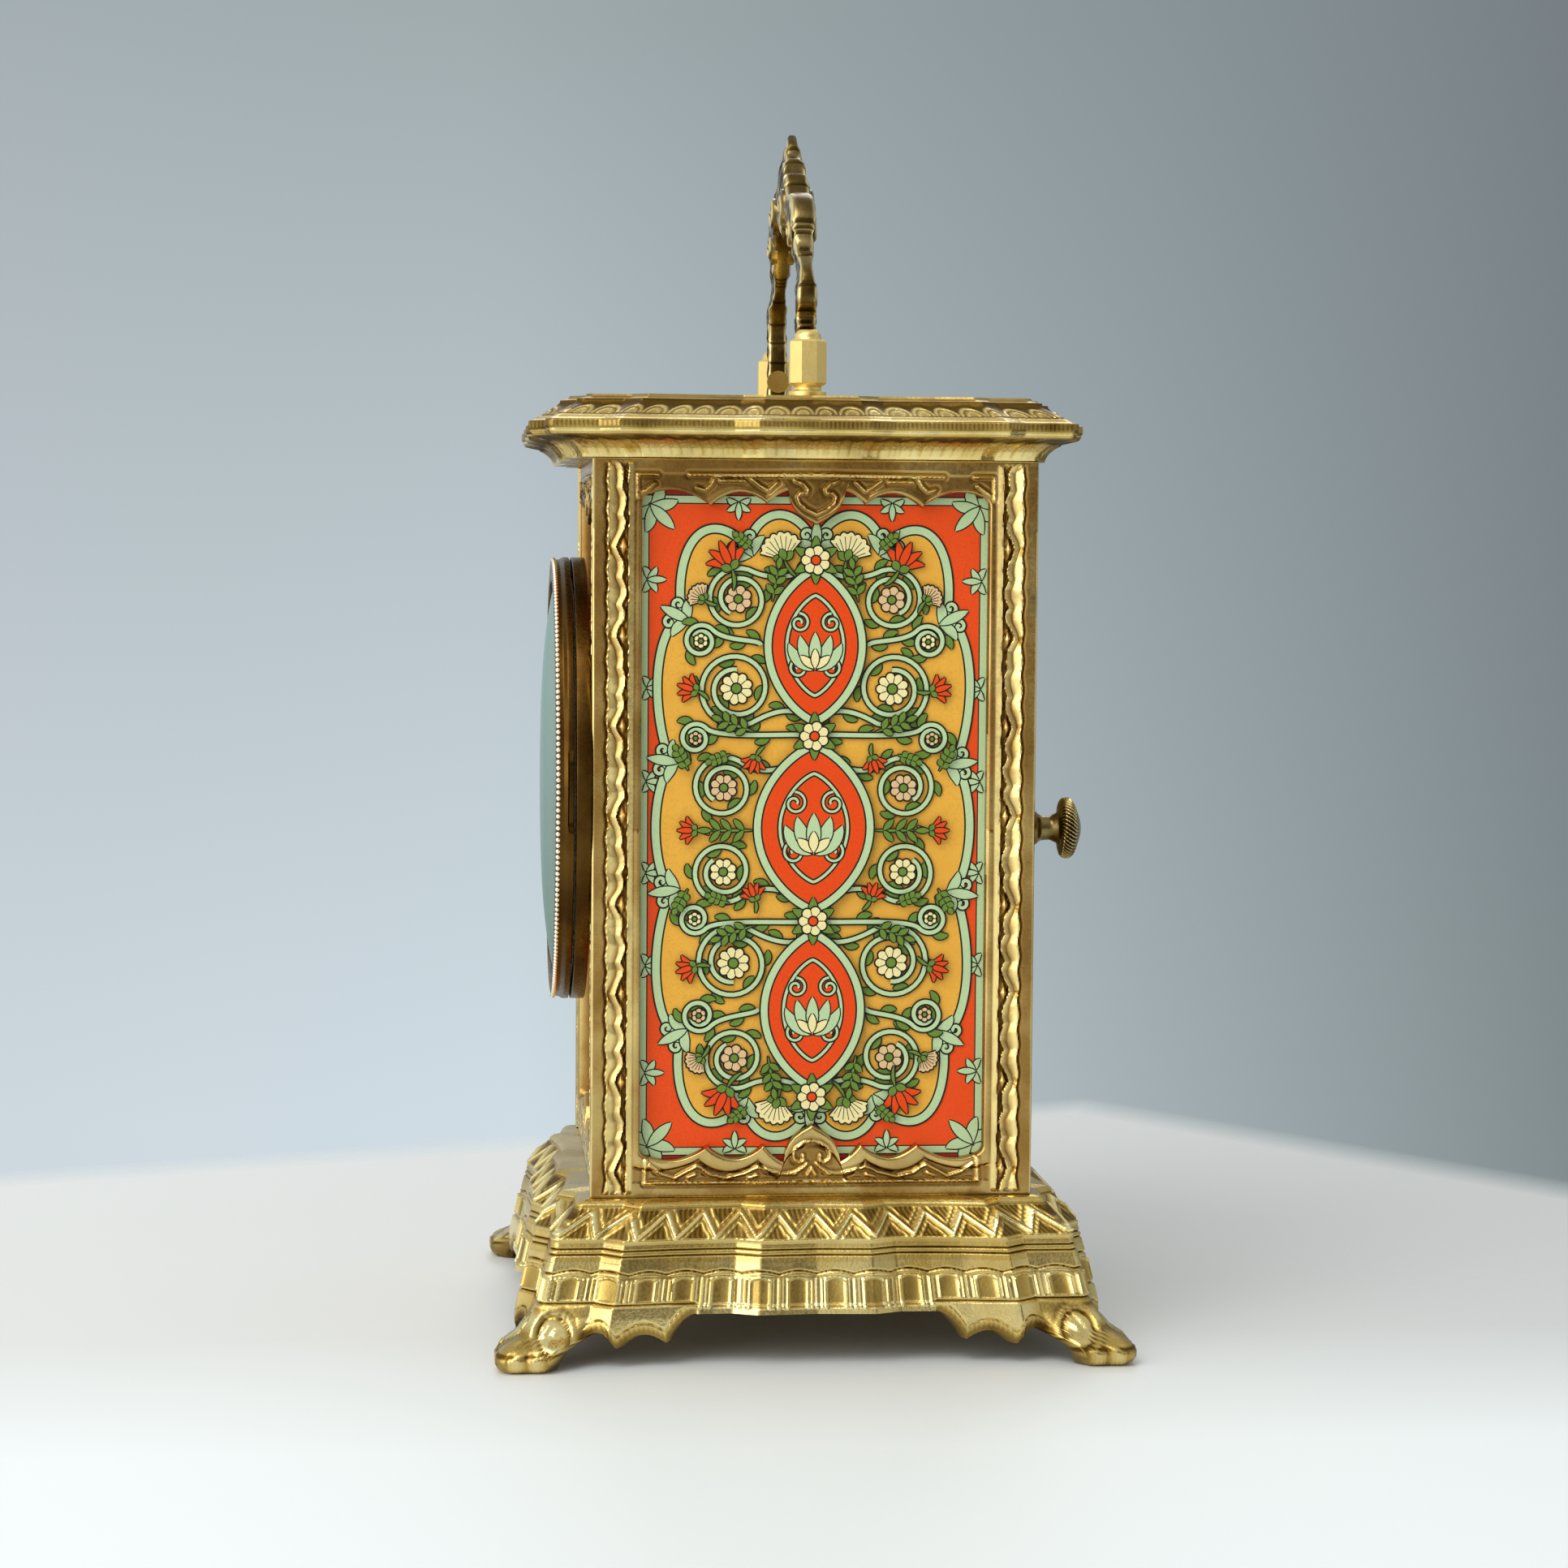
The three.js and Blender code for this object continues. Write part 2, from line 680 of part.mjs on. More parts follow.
// Glass: a domed disc behind the lip of the bezel.
const dome = { outer: 2.1, inner: 1.8 };
const domeShares = [0.75, 0.5, 0.25];
const domeAt = (share, height) => height * (1 - share * share);
piece('glass', turned([
  [0, lipBack - dome.outer],
  ...domeShares.slice().reverse().map((share) => [share * lip.bore, lipBack - domeAt(share, dome.outer)]),
  [lip.bore - clearance, lipBack],
  [glassRim.radius, lipBack],
  [glassRim.radius, lipBack + glassRim.thickness],
  ...domeShares.map((share) => (
    [share * lip.bore, lipBack + glassRim.thickness - domeAt(share, dome.inner)])),
  [0, lipBack + glassRim.thickness - dome.inner],
], sides.disc), 'glass', dialGroup);

// Dial and motion work, from the seat ring forward.
const dial = { radius: glassRim.radius - 1.6, thickness: 0.6 };
const dialFront = seam - dial.thickness;
const handThickness = 0.3;
const centreRadius = 0.5;
const pipeWall = 0.5;
const cannonBore = centreRadius + clearance;
const cannonRadius = cannonBore + pipeWall;
const hourBore = cannonRadius + clearance;
const hourRadius = hourBore + pipeWall;
piece('dial', tube(dial.radius, hourRadius + clearance, dialFront, seam, sides.disc), 'enamel', dialGroup);

const hourHandBack = dialFront - clearance;
const minuteHandBack = hourHandBack - handThickness - clearance;

const hourHandReach = 17;
const minuteHandReach = 24;
const hourHub = 2.6;
const minuteHub = 1.9;

// Half the outline of a hand: half its width as a share of the hub, and how far up it is as a
// share of the hand's length. The stem swells into a leaf and ends in a point.
const handShares = [
  [0.28, 0.07],
  [0.28, 0.5],
  [0.75, 0.68],
  [0.3, 0.86],
  [0, 1],
];

function hand(length, hub, bore, back) {
  const leaf = handShares.map(([wide, up]) => [wide * hub, up * length]);
  const outline = [...leaf, ...mirrored(leaf.slice(0, -1))];
  const blade = plateBetween(outline, back, back - handThickness);
  return cut(
    join(blade, rod(hub, back, back - handThickness, sides.medium)),
    rod(bore, back + overrun, back - handThickness - overrun),
  );
}

const showing = { hour: -55, minute: 60 }; // ten past ten, degrees clockwise from twelve
const spun = (body, degrees) => body.rotate([0, degrees, 0]);

// Toothed wheels. The size of a wheel is its module. A wheel has narrow teeth over deep
// pointed gaps, a pinion has leaves with parallel flanks, and together they keep backlash.
const toothShares = { addendum: 0.85, dedendum: 1.9, tip: 0.1 };
const leafShares = { addendum: 0.85, dedendum: 1.3, root: 0.21, tip: 0.12 };
const fewestWheelTeeth = 20;

function wheelTooth(size, teeth, middle) {
  const pitch = fullTurn / teeth;
  const tip = size * (teeth / 2 + toothShares.addendum);
  const root = size * (teeth / 2 - toothShares.dedendum);
  return [
    onCircle(tip, middle - toothShares.tip * pitch),
    onCircle(tip, middle + toothShares.tip * pitch),
    onCircle(root, middle + pitch / 2),
  ];
}

function pinionLeaf(size, teeth, middle) {
  const pitch = fullTurn / teeth;
  const tip = size * (teeth / 2 + leafShares.addendum);
  const root = size * (teeth / 2 - leafShares.dedendum);
  return [
    onCircle(root, middle - leafShares.root * pitch),
    onCircle(tip, middle - leafShares.tip * pitch),
    onCircle(tip, middle + leafShares.tip * pitch),
    onCircle(root, middle + leafShares.root * pitch),
  ];
}

function gearOutline(teeth, size, phase) {
  const tooth = teeth < fewestWheelTeeth ? pinionLeaf : wheelTooth;
  return Array.from({ length: teeth }, (_, i) => phase + (fullTurn * i) / teeth)
    .flatMap((middle) => tooth(size, teeth, middle));
}

// Phase that puts a gap of the driven gear over the tooth of its driver, along the line of
// centres from driver to driven.
function meshPhase(line, driver, teeth) {
  const passed = ((line - driver.phase) * driver.teeth) / fullTurn;
  return line + Math.PI + ((passed + 0.5) * fullTurn) / teeth;
}

// Crossings: openings between the spokes of a wheel.
const hubShare = 0.3; // of the rim
const spokeShare = 0.3; // half the width of a spoke, of the hub
function crossings(rim, hub, spokes) {
  const half = Math.PI / spokes;
  const halfSpoke = hub * spokeShare;
  return Array.from({ length: spokes }, (_, i) => {
    const middle = (i + 0.5) * 2 * half;
    const arc = (radius) => [-1, 0, 1].map((share) => (
      onCircle(radius, middle + share * (half - halfSpoke / radius))));
    return [...arc(rim), ...arc(hub).reverse()];
  });
}

const rimShare = 3.6; // depth of teeth and rim, as a share of the module

function gear(teeth, size, phase, y0, y1, spokes = 0) {
  const rim = size * (teeth / 2 - rimShare);
  const hub = rim * hubShare;
  const holes = spokes ? crossings(rim, hub, spokes) : [];
  return plateBetween(gearOutline(teeth, size, phase), y0, y1, holes);
}

// Places of the arbors, from the front, about the dial's centre.
const barrelPair = { wheel: 42, pinion: 7, size: 0.46 };
const centrePair = { wheel: 42, pinion: 6, size: 0.34 };
const thirdPair = { wheel: 45, pinion: 6, size: 0.29 };
const fourthPair = { wheel: 48, pinion: 6, size: 0.256 };
const cannonPair = { wheel: 30, pinion: 10, size: 0.42 };
const hourPair = { wheel: 32, pinion: 8, size: 0.42 };
const distanceOf = ({ wheel, pinion, size }) => (size * (wheel + pinion)) / 2;
const lines = {
  barrel: 225,
  third: 45,
  fourth: 150,
  escape: 60,
  fork: 150,
  balance: 210,
  minute: 300,
  setting: 340,
};

const centreAt = [0, 0];
const barrelAt = polar(distanceOf(barrelPair), lines.barrel);
const thirdAt = polar(distanceOf(centrePair), lines.third);
const fourthAt = polar(distanceOf(thirdPair), lines.fourth, thirdAt);
const escapeAt = polar(distanceOf(fourthPair), lines.escape, fourthAt);
const forkDistance = 4.6;
const rollerDistance = 6.2;
const forkAt = polar(forkDistance, lines.fork, escapeAt);
const balanceAt = polar(rollerDistance, lines.balance, forkAt);
const minuteAt = polar(distanceOf(cannonPair), lines.minute);
const settingAt = polar(distanceOf(cannonPair), lines.setting, minuteAt);

const placed = (body, [x, z]) => body.translate([x, 0, z]);

// Movement plates
const plateThickness = 1.2;
const plateGap = 14.8;
const frontPlateRadius = spigot.inner - clearance;
const backPlateRadius = 22.6;
const frontPlateBack = frontFace + plateThickness;
const backPlateFront = frontPlateBack + plateGap;
const backPlateBack = backPlateFront + plateThickness;
const ratchet = { teeth: 24, radius: 4.4, depth: 0.7, thickness: 0.8, leanShare: 0.85 };
const ratchetFront = backPlateBack + clearance;
const ratchetBack = ratchetFront + ratchet.thickness;
const clickBack = ratchetBack - clearance; // the key turns past the click
const arborRadius = 0.4;
const pivotShaft = 0.3;
const barrelShaft = 1.5;
const settingShaft = 0.6;
const barrelPivot = 1;
const click = { hub: 1.3, stud: 0.5, tail: 1.5, apart: 6.6, line: 90 };
const clickAt = polar(click.apart, click.line, barrelAt);
const platePillar = { radius: 1.2, circle: 20.6, angles: [45, 165, 290] };

const pivotHole = (radius, at) => circle(radius + clearance, sides.arbor, at);
const trainPivots = [thirdAt, fourthAt, escapeAt, forkAt, balanceAt].map((at) => pivotHole(pivotShaft, at));
const throughHoles = [
  pivotHole(barrelPivot, barrelAt),
  pivotHole(settingShaft, settingAt),
  pivotHole(centreRadius, centreAt),
];

const plateHoles = [...trainPivots, ...throughHoles];
const frontDisc = circle(frontPlateRadius, sides.disc);
piece('front_plate', plateBetween(frontDisc, frontFace, frontPlateBack, plateHoles), 'brass', dialGroup);
piece('back_plate', join(
  plateBetween(circle(backPlateRadius, sides.disc), backPlateFront, backPlateBack, plateHoles),
  placed(rod(click.stud, backPlateFront, clickBack), clickAt),
), 'brass', dialGroup);
platePillar.angles.forEach((angle, i) => {
  const pillarForm = rod(platePillar.radius, frontPlateBack, backPlateFront);
  piece(`plate_pillar_${i + 1}`, placed(pillarForm, polar(platePillar.circle, angle)), 'brass', dialGroup);
});

// A train arbor with its pivots in both plates.
function arbor(radius = arborRadius) {
  return join(
    rod(radius, frontPlateBack + clearance, backPlateFront - clearance, sides.arbor),
    rod(pivotShaft, frontPlateBack - plateThickness / 2, backPlateFront + plateThickness / 2, sides.arbor),
  );
}

// Layers of the wheels between the plates, measured from the back of the front plate.
const wheelThickness = 0.7;
const ribClear = 0.1; // the front layer of the motion work is this much thinner
const spokes = 4;
const pinionOverlap = 0.4;
const layers = { barrel: 1.3, escape: 3.8, third: 5.8, fourth: 8.3, centre: 11.2, balance: 12.2 };
const layerAt = (name) => frontPlateBack + layers[name];
const wheelLayer = (name) => [layerAt(name), layerAt(name) + wheelThickness];
const pinionLayer = (name) => [
  layerAt(name) - pinionOverlap,
  layerAt(name) + wheelThickness + pinionOverlap,
];

const wheelOf = (pair, phase, name, arms) => gear(pair.wheel, pair.size, phase, ...wheelLayer(name), arms);
const pinionOf = (pair, phase, name) => gear(pair.pinion, pair.size, phase, ...pinionLayer(name));
const drive = (pair, phase) => ({ teeth: pair.wheel, phase });

// Barrel with its great wheel, turning on the barrel arbor.
const drum = { radius: 8.9, depth: 7.4 };
const drumBack = layerAt('barrel') + wheelThickness + drum.depth;
const barrelBody = cut(
  join(wheelOf(barrelPair, 0, 'barrel', 0), rod(drum.radius, layerAt('barrel'), drumBack, sides.large)),
  rod(barrelShaft + clearance, layerAt('barrel') - overrun, drumBack + overrun),
);
piece('barrel', placed(barrelBody, barrelAt), 'brass', dialGroup);

// Barrel arbor, ratchet, click and winding key behind the back plate. The beak of the click
// rests in a gap of the ratchet, against the steep side of a tooth.
const key = { hub: 2.1, height: 5.4, span: 7.6, thickness: 1.2 };
const keyBack = ratchetBack + key.height;
const arborBore = circle(barrelPivot + clearance, sides.small);

piece('barrel_arbor', placed(join(
  rod(barrelShaft, frontPlateBack + clearance, backPlateFront - clearance),
  rod(barrelPivot, frontPlateBack - plateThickness / 2, keyBack),
), barrelAt), 'steel', dialGroup);

const beak = { angle: 60, tip: 4, heel: { out: 4.75, apart: 12 }, face: { out: 5.7, apart: 1.2 }, play: 1 };

// Saw teeth that rise slowly and drop steeply, from the gap at the given angle on.
function sawTeeth({ teeth, radius, depth, leanShare }, start) {
  const pitch = fullTurn / teeth;
  return Array.from({ length: teeth }, (_, i) => start + i * pitch).flatMap((angle) => [
    onCircle(radius - depth, angle),
    onCircle(radius, angle + pitch * leanShare),
  ]);
}

const ratchetWheel = plateBetween(
  sawTeeth(ratchet, (beak.angle - beak.play) * radians),
  ratchetFront,
  ratchetBack,
  [arborBore],
);
piece('ratchet_wheel', placed(ratchetWheel, barrelAt), 'steel', dialGroup);

function windingKey() {
  const wing = key.height / 2;
  const lobe = (x) => upright(rod(wing, -key.thickness / 2, key.thickness / 2, sides.medium))
    .translate([x, ratchetBack + wing, 0]);
  const bar = block(
    [wing - key.span, key.span - wing],
    [ratchetBack, keyBack],
    [-key.thickness / 2, key.thickness / 2],
  );
  const hub = rod(key.hub, ratchetBack, keyBack, sides.medium);
  const body = join(hub, bar, lobe(key.span - wing), lobe(wing - key.span));
  return cut(body, rod(barrelPivot + clearance, ratchetBack - overrun, keyBack + overrun));
}
piece('winding_key', placed(windingKey(), barrelAt), 'brass', dialGroup);

const fromBarrel = (out, apart) => {
  const [x, z] = polar(out, beak.angle + apart, barrelAt);
  return [x - clickAt[0], z - clickAt[1]];
};
const clickOutline = [
  [-click.hub, 0],
  [-click.tail / 2, -click.tail],
  fromBarrel(beak.heel.out, beak.heel.apart),
  fromBarrel(beak.tip, 0),
  fromBarrel(beak.face.out, beak.face.apart),
];
const clickBody = cut(
  join(
    rod(click.hub, ratchetFront, clickBack),
    plateBetween(clickOutline, ratchetFront, clickBack),
  ),
  rod(click.stud + clearance, ratchetFront - overrun, clickBack + overrun),
);
piece('click', placed(clickBody, clickAt), 'steel', dialGroup);

// Going train: every arbor carries the pinion driven by the wheel before it.
const toCentre = (lines.barrel + 2 * quarter) * radians;
const centrePhase = meshPhase(toCentre, drive(barrelPair, 0), barrelPair.pinion);
const thirdPhase = meshPhase(lines.third * radians, drive(centrePair, 0), centrePair.pinion);
const fourthPhase = meshPhase(lines.fourth * radians, drive(thirdPair, 0), thirdPair.pinion);
const escapePhase = meshPhase(lines.escape * radians, drive(fourthPair, 0), fourthPair.pinion);

const centreFront = minuteHandBack - handThickness - clearance;
piece('centre_wheel', join(
  rod(centreRadius, centreFront, backPlateFront + plateThickness / 2),
  pinionOf(barrelPair, centrePhase, 'barrel'),
  wheelOf(centrePair, 0, 'centre', spokes),
), 'brass', dialGroup);
piece('third_wheel', placed(join(
  arbor(),
  pinionOf(centrePair, thirdPhase, 'centre'),
  wheelOf(thirdPair, 0, 'third', spokes),
), thirdAt), 'brass', dialGroup);
piece('fourth_wheel', placed(join(
  arbor(),
  pinionOf(thirdPair, fourthPhase, 'third'),
  wheelOf(fourthPair, 0, 'fourth', spokes),
), fourthAt), 'brass', dialGroup);

// Escape wheel with pointed teeth, pallet fork and balance
const escape = { teeth: 15, radius: 3.4, depth: 0.9, leanShare: 0.75 };
piece('escape_wheel', placed(join(
  arbor(),
  pinionOf(fourthPair, escapePhase, 'fourth'),
  plateBetween(sawTeeth(escape, 0), ...wheelLayer('escape')),
), escapeAt), 'steel', dialGroup);

// A straight bar of the given width between two places, as a flat outline.
function bar([x0, z0], [x1, z1], width) {
  const length = Math.hypot(x1 - x0, z1 - z0);
  const [nx, nz] = [((z0 - z1) / length) * (width / 2), ((x1 - x0) / length) * (width / 2)];
  return [[x0 - nx, z0 - nz], [x1 - nx, z1 - nz], [x1 + nx, z1 + nz], [x0 + nx, z0 + nz]];
}

const fork = { width: 0.7, palletSpread: 36, palletGap: 0.55, hub: 0.9 };
const roller = { radius: 0.9, gap: 0.5 };
const palletAt = (degrees) => polar(escape.radius + fork.palletGap, degrees, escapeAt);
const relativeToFork = ([x, z]) => [x - forkAt[0], z - forkAt[1]];
const forkArms = [
  relativeToFork(palletAt(lines.fork - fork.palletSpread)),
  relativeToFork(palletAt(lines.fork + fork.palletSpread)),
  polar(rollerDistance - roller.radius - roller.gap, lines.balance),
].map((tip) => plateBetween(bar(centreAt, tip, fork.width), ...wheelLayer('escape')));
piece('pallet_fork', placed(join(
  arbor(),
  rod(fork.hub, ...wheelLayer('escape')),
  ...forkArms,
), forkAt), 'steel', dialGroup);

const balance = { radius: 5.2, rim: 0.9, arm: 0.8 };
const balanceArm = block(
  [balance.rim / 2 - balance.radius, balance.radius - balance.rim / 2],
  wheelLayer('balance'),
  [-balance.arm / 2, balance.arm / 2],
);
piece('balance', placed(join(
  arbor(),
  rod(roller.radius, ...wheelLayer('escape')),
  tube(balance.radius, balance.radius - balance.rim, ...wheelLayer('balance'), sides.large),
  balanceArm,
), balanceAt), 'brass', dialGroup);

// Motion work between the front plate and the dial, in two layers.
const firstLayer = [frontFace - clearance, frontFace - clearance - wheelThickness];
const secondLayer = [firstLayer[1] - clearance, firstLayer[1] - clearance - wheelThickness + ribClear];
const cannon = { teeth: cannonPair.pinion, phase: 0 };
const hourPinion = { teeth: hourPair.pinion, phase: 0 };
const minutePhase = meshPhase(lines.minute * radians, cannon, cannonPair.wheel);
const hourPhase = meshPhase((lines.minute + 2 * quarter) * radians, hourPinion, hourPair.wheel);
const settingPhase = meshPhase(
  lines.setting * radians,
  { teeth: cannonPair.wheel, phase: minutePhase },
  cannonPair.pinion,
);

piece('cannon_pinion', cut(
  join(
    rod(cannonRadius, firstLayer[0], minuteHandBack),
    gear(cannonPair.pinion, cannonPair.size, 0, ...firstLayer),
  ),
  rod(cannonBore, firstLayer[0] + overrun, minuteHandBack - overrun),
), 'steel', dialGroup);
piece('hour_wheel', cut(
  join(
    rod(hourRadius, secondLayer[0], hourHandBack),
    gear(hourPair.wheel, hourPair.size, hourPhase, ...secondLayer),
  ),
  rod(hourBore, secondLayer[0] + overrun, hourHandBack - overrun),
), 'brass', dialGroup);

const stud = { radius: 0.5, height: 2 };
piece('minute_wheel', placed(cut(
  join(
    gear(cannonPair.wheel, cannonPair.size, minutePhase, ...firstLayer),
    gear(hourPair.pinion, hourPair.size, 0, firstLayer[0], secondLayer[1]),
  ),
  rod(stud.radius + clearance, firstLayer[0] + overrun, secondLayer[1] - overrun),
), minuteAt), 'brass', dialGroup);
const studForm = rod(stud.radius, frontFace - stud.height, frontFace);
piece('minute_stud', placed(studForm, minuteAt), 'steel', dialGroup);

const minuteHand = spun(hand(minuteHandReach, minuteHub, cannonBore, minuteHandBack), showing.minute);
const hourHand = spun(hand(hourHandReach, hourHub, hourBore, hourHandBack), showing.hour);
piece('minute_hand', minuteHand, 'blued', dialGroup);
piece('hour_hand', hourHand, 'blued', dialGroup);

// Hand setting from the back
const settingKnob = { radius: 3.4, thickness: 3, stand: 3 };
const settingBack = backPlateBack + settingKnob.stand;
piece('setting_arbor', placed(join(
  rod(settingShaft, firstLayer[1], settingBack),
  gear(cannonPair.pinion, cannonPair.size, settingPhase, ...firstLayer),
), settingAt), 'steel', dialGroup);
piece('setting_knob', placed(
  rod(settingKnob.radius, settingBack, settingBack + settingKnob.thickness, sides.large),
  settingAt,
), 'brass', dialGroup);

// Rear door: a fourth frame with a rounded hinge edge, turning on pins in deck and lid.
const doorBottom = baseHeight + clearance;
const doorTop = caseTop - clearance;
const doorInner = rearFace - doorThickness;

const knobShank = 0.9;
const doorStile = frontStile - clearance;
const knobAt = [doorHalf - doorStile / 2, caseMiddle];
const knob = { flange: 2.6, waist: 1.9, head: 4.4, tip: 1.1, height: 7.6 };
const knobShares = { flange: 0.12, waist: 0.32, back: 0.62, edge: 0.82 };

function doorFrame() {
  const flat = castFrame(2 * doorHalf, doorTop - doorBottom, doorStile, doorThickness)
    .rotate([0, 0, 2 * quarter])
    .translate([0, doorInner, doorBottom]);
  const edge = block(
    [-doorHalf - overrun, doorAxis[0]],
    [doorInner - overrun, rearFace + overrun],
    [doorBottom - overrun, doorTop + overrun],
  );
  const round = upright(rod(doorThickness / 2, doorBottom, doorTop, sides.medium))
    .translate([...doorAxis, 0]);
  const depth = doorPin.buried + clearance;
  return cut(
    join(cut(flat, edge), round),
    pinBore(doorTop - depth, doorTop + overrun),
    pinBore(doorBottom - overrun, doorBottom + depth),
    placed(rod(knobShank + clearance, doorInner - overrun, rearFace + overrun), knobAt),
  );
}

piece('door_frame', doorFrame(), 'bronze');
const doorPanelFront = doorInner - panelThickness;
piece('door_panel', plateBetween(panelOutline(frontPanelHalf), doorInner, doorPanelFront), 'print');
piece('door_retainer', plateBetween(
  panelOutline(frontPanelHalf),
  doorPanelFront,
  doorPanelFront - retainerThickness,
  [retainerOpening(frontPanelHalf)],
), 'brass');
const along = (share) => rearFace + share * knob.height;
piece('door_knob', placed(turned([
  [0, doorInner],
  [knobShank, doorInner],
  [knobShank, rearFace],
  [knob.flange, rearFace],
  [knob.flange, along(knobShares.flange)],
  [knob.waist, along(knobShares.waist)],
  [knob.waist, along((knobShares.waist + knobShares.back) / 2)],
  [knob.head, along(knobShares.back)],
  [knob.head, along(knobShares.edge)],
  [knob.tip, along(1)],
  [0, along(1)],
], sides.medium), knobAt), 'brass');
[
  ['bottom', baseHeight - doorPin.reach, doorBottom + doorPin.buried],
  ['top', doorTop - doorPin.buried, caseTop + doorPin.reach],
].forEach(([name, z0, z1]) => {
  piece(`door_pin_${name}`, upright(rod(doorPin.radius, z0, z1)).translate([...doorAxis, 0]), 'steel');
});

export default clock;
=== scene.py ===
"""Looks of a small carriage clock in gilt bronze.

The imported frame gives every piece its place. This script dresses it: cast relief on the base, the
lid and the four frames, printed panels, a beaded bezel with its glass, the dial, the bail handle,
the door knob and the movement. Sizes are in millimetres, +Z is up and the dial faces -Y. A mesh is
turned to metres when it is made. Colours are screen values from 0 to 255.
"""

import json
import logging
import math
from dataclasses import dataclass, field, replace
from enum import Enum
from functools import cache

import bmesh
import bpy
import numpy as np
from mathutils import Matrix, Vector


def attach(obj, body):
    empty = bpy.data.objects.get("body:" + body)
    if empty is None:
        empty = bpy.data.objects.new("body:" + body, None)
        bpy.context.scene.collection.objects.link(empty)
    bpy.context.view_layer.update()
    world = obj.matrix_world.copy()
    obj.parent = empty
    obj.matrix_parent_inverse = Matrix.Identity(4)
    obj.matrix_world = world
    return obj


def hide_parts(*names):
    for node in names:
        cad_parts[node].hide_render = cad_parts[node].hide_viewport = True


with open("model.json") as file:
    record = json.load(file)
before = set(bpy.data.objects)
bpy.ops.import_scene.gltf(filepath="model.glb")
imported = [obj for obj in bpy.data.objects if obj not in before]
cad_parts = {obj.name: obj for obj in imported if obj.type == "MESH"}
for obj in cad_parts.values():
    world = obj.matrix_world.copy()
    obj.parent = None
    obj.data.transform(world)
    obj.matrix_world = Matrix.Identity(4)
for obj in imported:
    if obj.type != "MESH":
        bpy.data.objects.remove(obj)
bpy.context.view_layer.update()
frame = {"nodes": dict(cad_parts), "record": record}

log = logging.getLogger("clock")

MM = 0.001
TURN = 2 * math.pi
MERGE = 2e-7  # metres: points closer than this are one point
TINY = 1e-9  # least length that is divided by
MIDST = (0.3, 0.7)  # where most of a noise's values lie
BOTH = (-1, 1)  # the two ways of a mirrored form
LID_Y = -1.0  # the lid, its pillars and the handle sit this far forward

Array = np.ndarray
Colour = tuple[float, float, float]
Socket = bpy.types.NodeSocket


class Body(Enum):
    """The bodies that pieces ride on."""

    CASE = "case"
    DOOR = "door"
    BEZEL = "bezel"
    HANDLE = "handle"


class Slot(Enum):
    """The record's material slots."""

    GILT = "gilt_bronze"
    BRONZE = "bronze"
    BRASS = "brass"
    STEEL = "steel"
    PRINT = "printed_metal"
    GLASS = "glass"
    DIAL = "dial_paint"
    BLUED = "blued_steel"


class Side(Enum):
    """A side of the case. Each is drawn as the front and turned about +Z by this many degrees."""

    FRONT = 0
    RIGHT = 90
    BACK = 180
    LEFT = -90


class Flower(Enum):
    """What a vine carries."""

    SHELL = "shell"
    LILY = "lily"
    SPRIG = "sprig"


# Curves


def crest(distance: Array, width: float) -> Array:
    """A sharp ridge: 1 at distance 0, falling in a straight line to 0 at the given width."""
    return np.maximum(1 - np.abs(distance) / width, 0)


def ridges(value: Array, *rows: tuple[float, float, float]) -> Array:
    """The sum of sharp ridges, each given by its place, its width and its height."""
    return sum(height * crest(value - place, width) for place, width, height in rows)


def bump(distance: Array, width: float) -> Array:
    """A smooth ridge: 1 at distance 0, falling off as a bell over the given width."""
    return np.exp(-((distance / width) ** 2))


def step(low: float | Array, high: float | Array, value: Array) -> Array:
    """A smooth step from 0 below low to 1 above high."""
    share = np.clip((value - low) / (high - low), 0, 1)
    return share * share * (3 - 2 * share)


def within(value: Array, rise: tuple, fall: tuple) -> Array:
    """A smooth step up over the rise and down again over the fall."""
    return step(*rise, value) * (1 - step(*fall, value))


def sawtooth(value: Array) -> Array:
    """A triangle wave of period 1 between -1 and 1."""
    return 4 * np.abs((value % 1) - 0.5) - 1


def beat(value: Array, period: float) -> Array:
    """Distance of each value from the middle of its period."""
    return ((value / period) % 1 - 0.5) * period


def power(value: Array, exponent: float) -> Array:
    """A power of a value's size that keeps its sign."""
    return np.sign(value) * np.abs(value) ** exponent


def dome(distance: Array) -> Array:
    """A half circle: 1 at distance 0 and 0 from distance 1 on."""
    return np.sqrt(np.clip(1 - distance**2, 0, 1))


def circle(count: int) -> Array:
    """Even angles once round."""
    return np.linspace(0, TURN, count, endpoint=False)


def unit(angle: Array | float) -> Array:
    """The unit vector of each angle, as cosine and sine."""
    return np.stack([np.cos(angle), np.sin(angle)], -1)


def flipped(degrees: float, across: int) -> float:
    """A heading, or its mirror image where across is -1."""
    return degrees if across > 0 else 180 - degrees


def from_lines(x: Array, z: Array, lines: tuple) -> Array:
    """Distance of each point (x, z) to the nearest of some open lines.

    On each straight run the nearest place is the point's shadow on the run, kept between its ends.

    Args:
        x: places across.
        z: places up.
        lines: each a row of points.

    Returns:
        The distances.
    """
    best = np.full(x.shape, np.inf)
    for line in lines:
        for (x0, z0), (x1, z1) in zip(line, line[1:]):
            dx, dz = x1 - x0, z1 - z0
            share = np.clip(((x - x0) * dx + (z - z0) * dz) / (dx * dx + dz * dz), 0, 1)
            best = np.minimum(best, np.hypot(x - x0 - share * dx, z - z0 - share * dz))
    return best


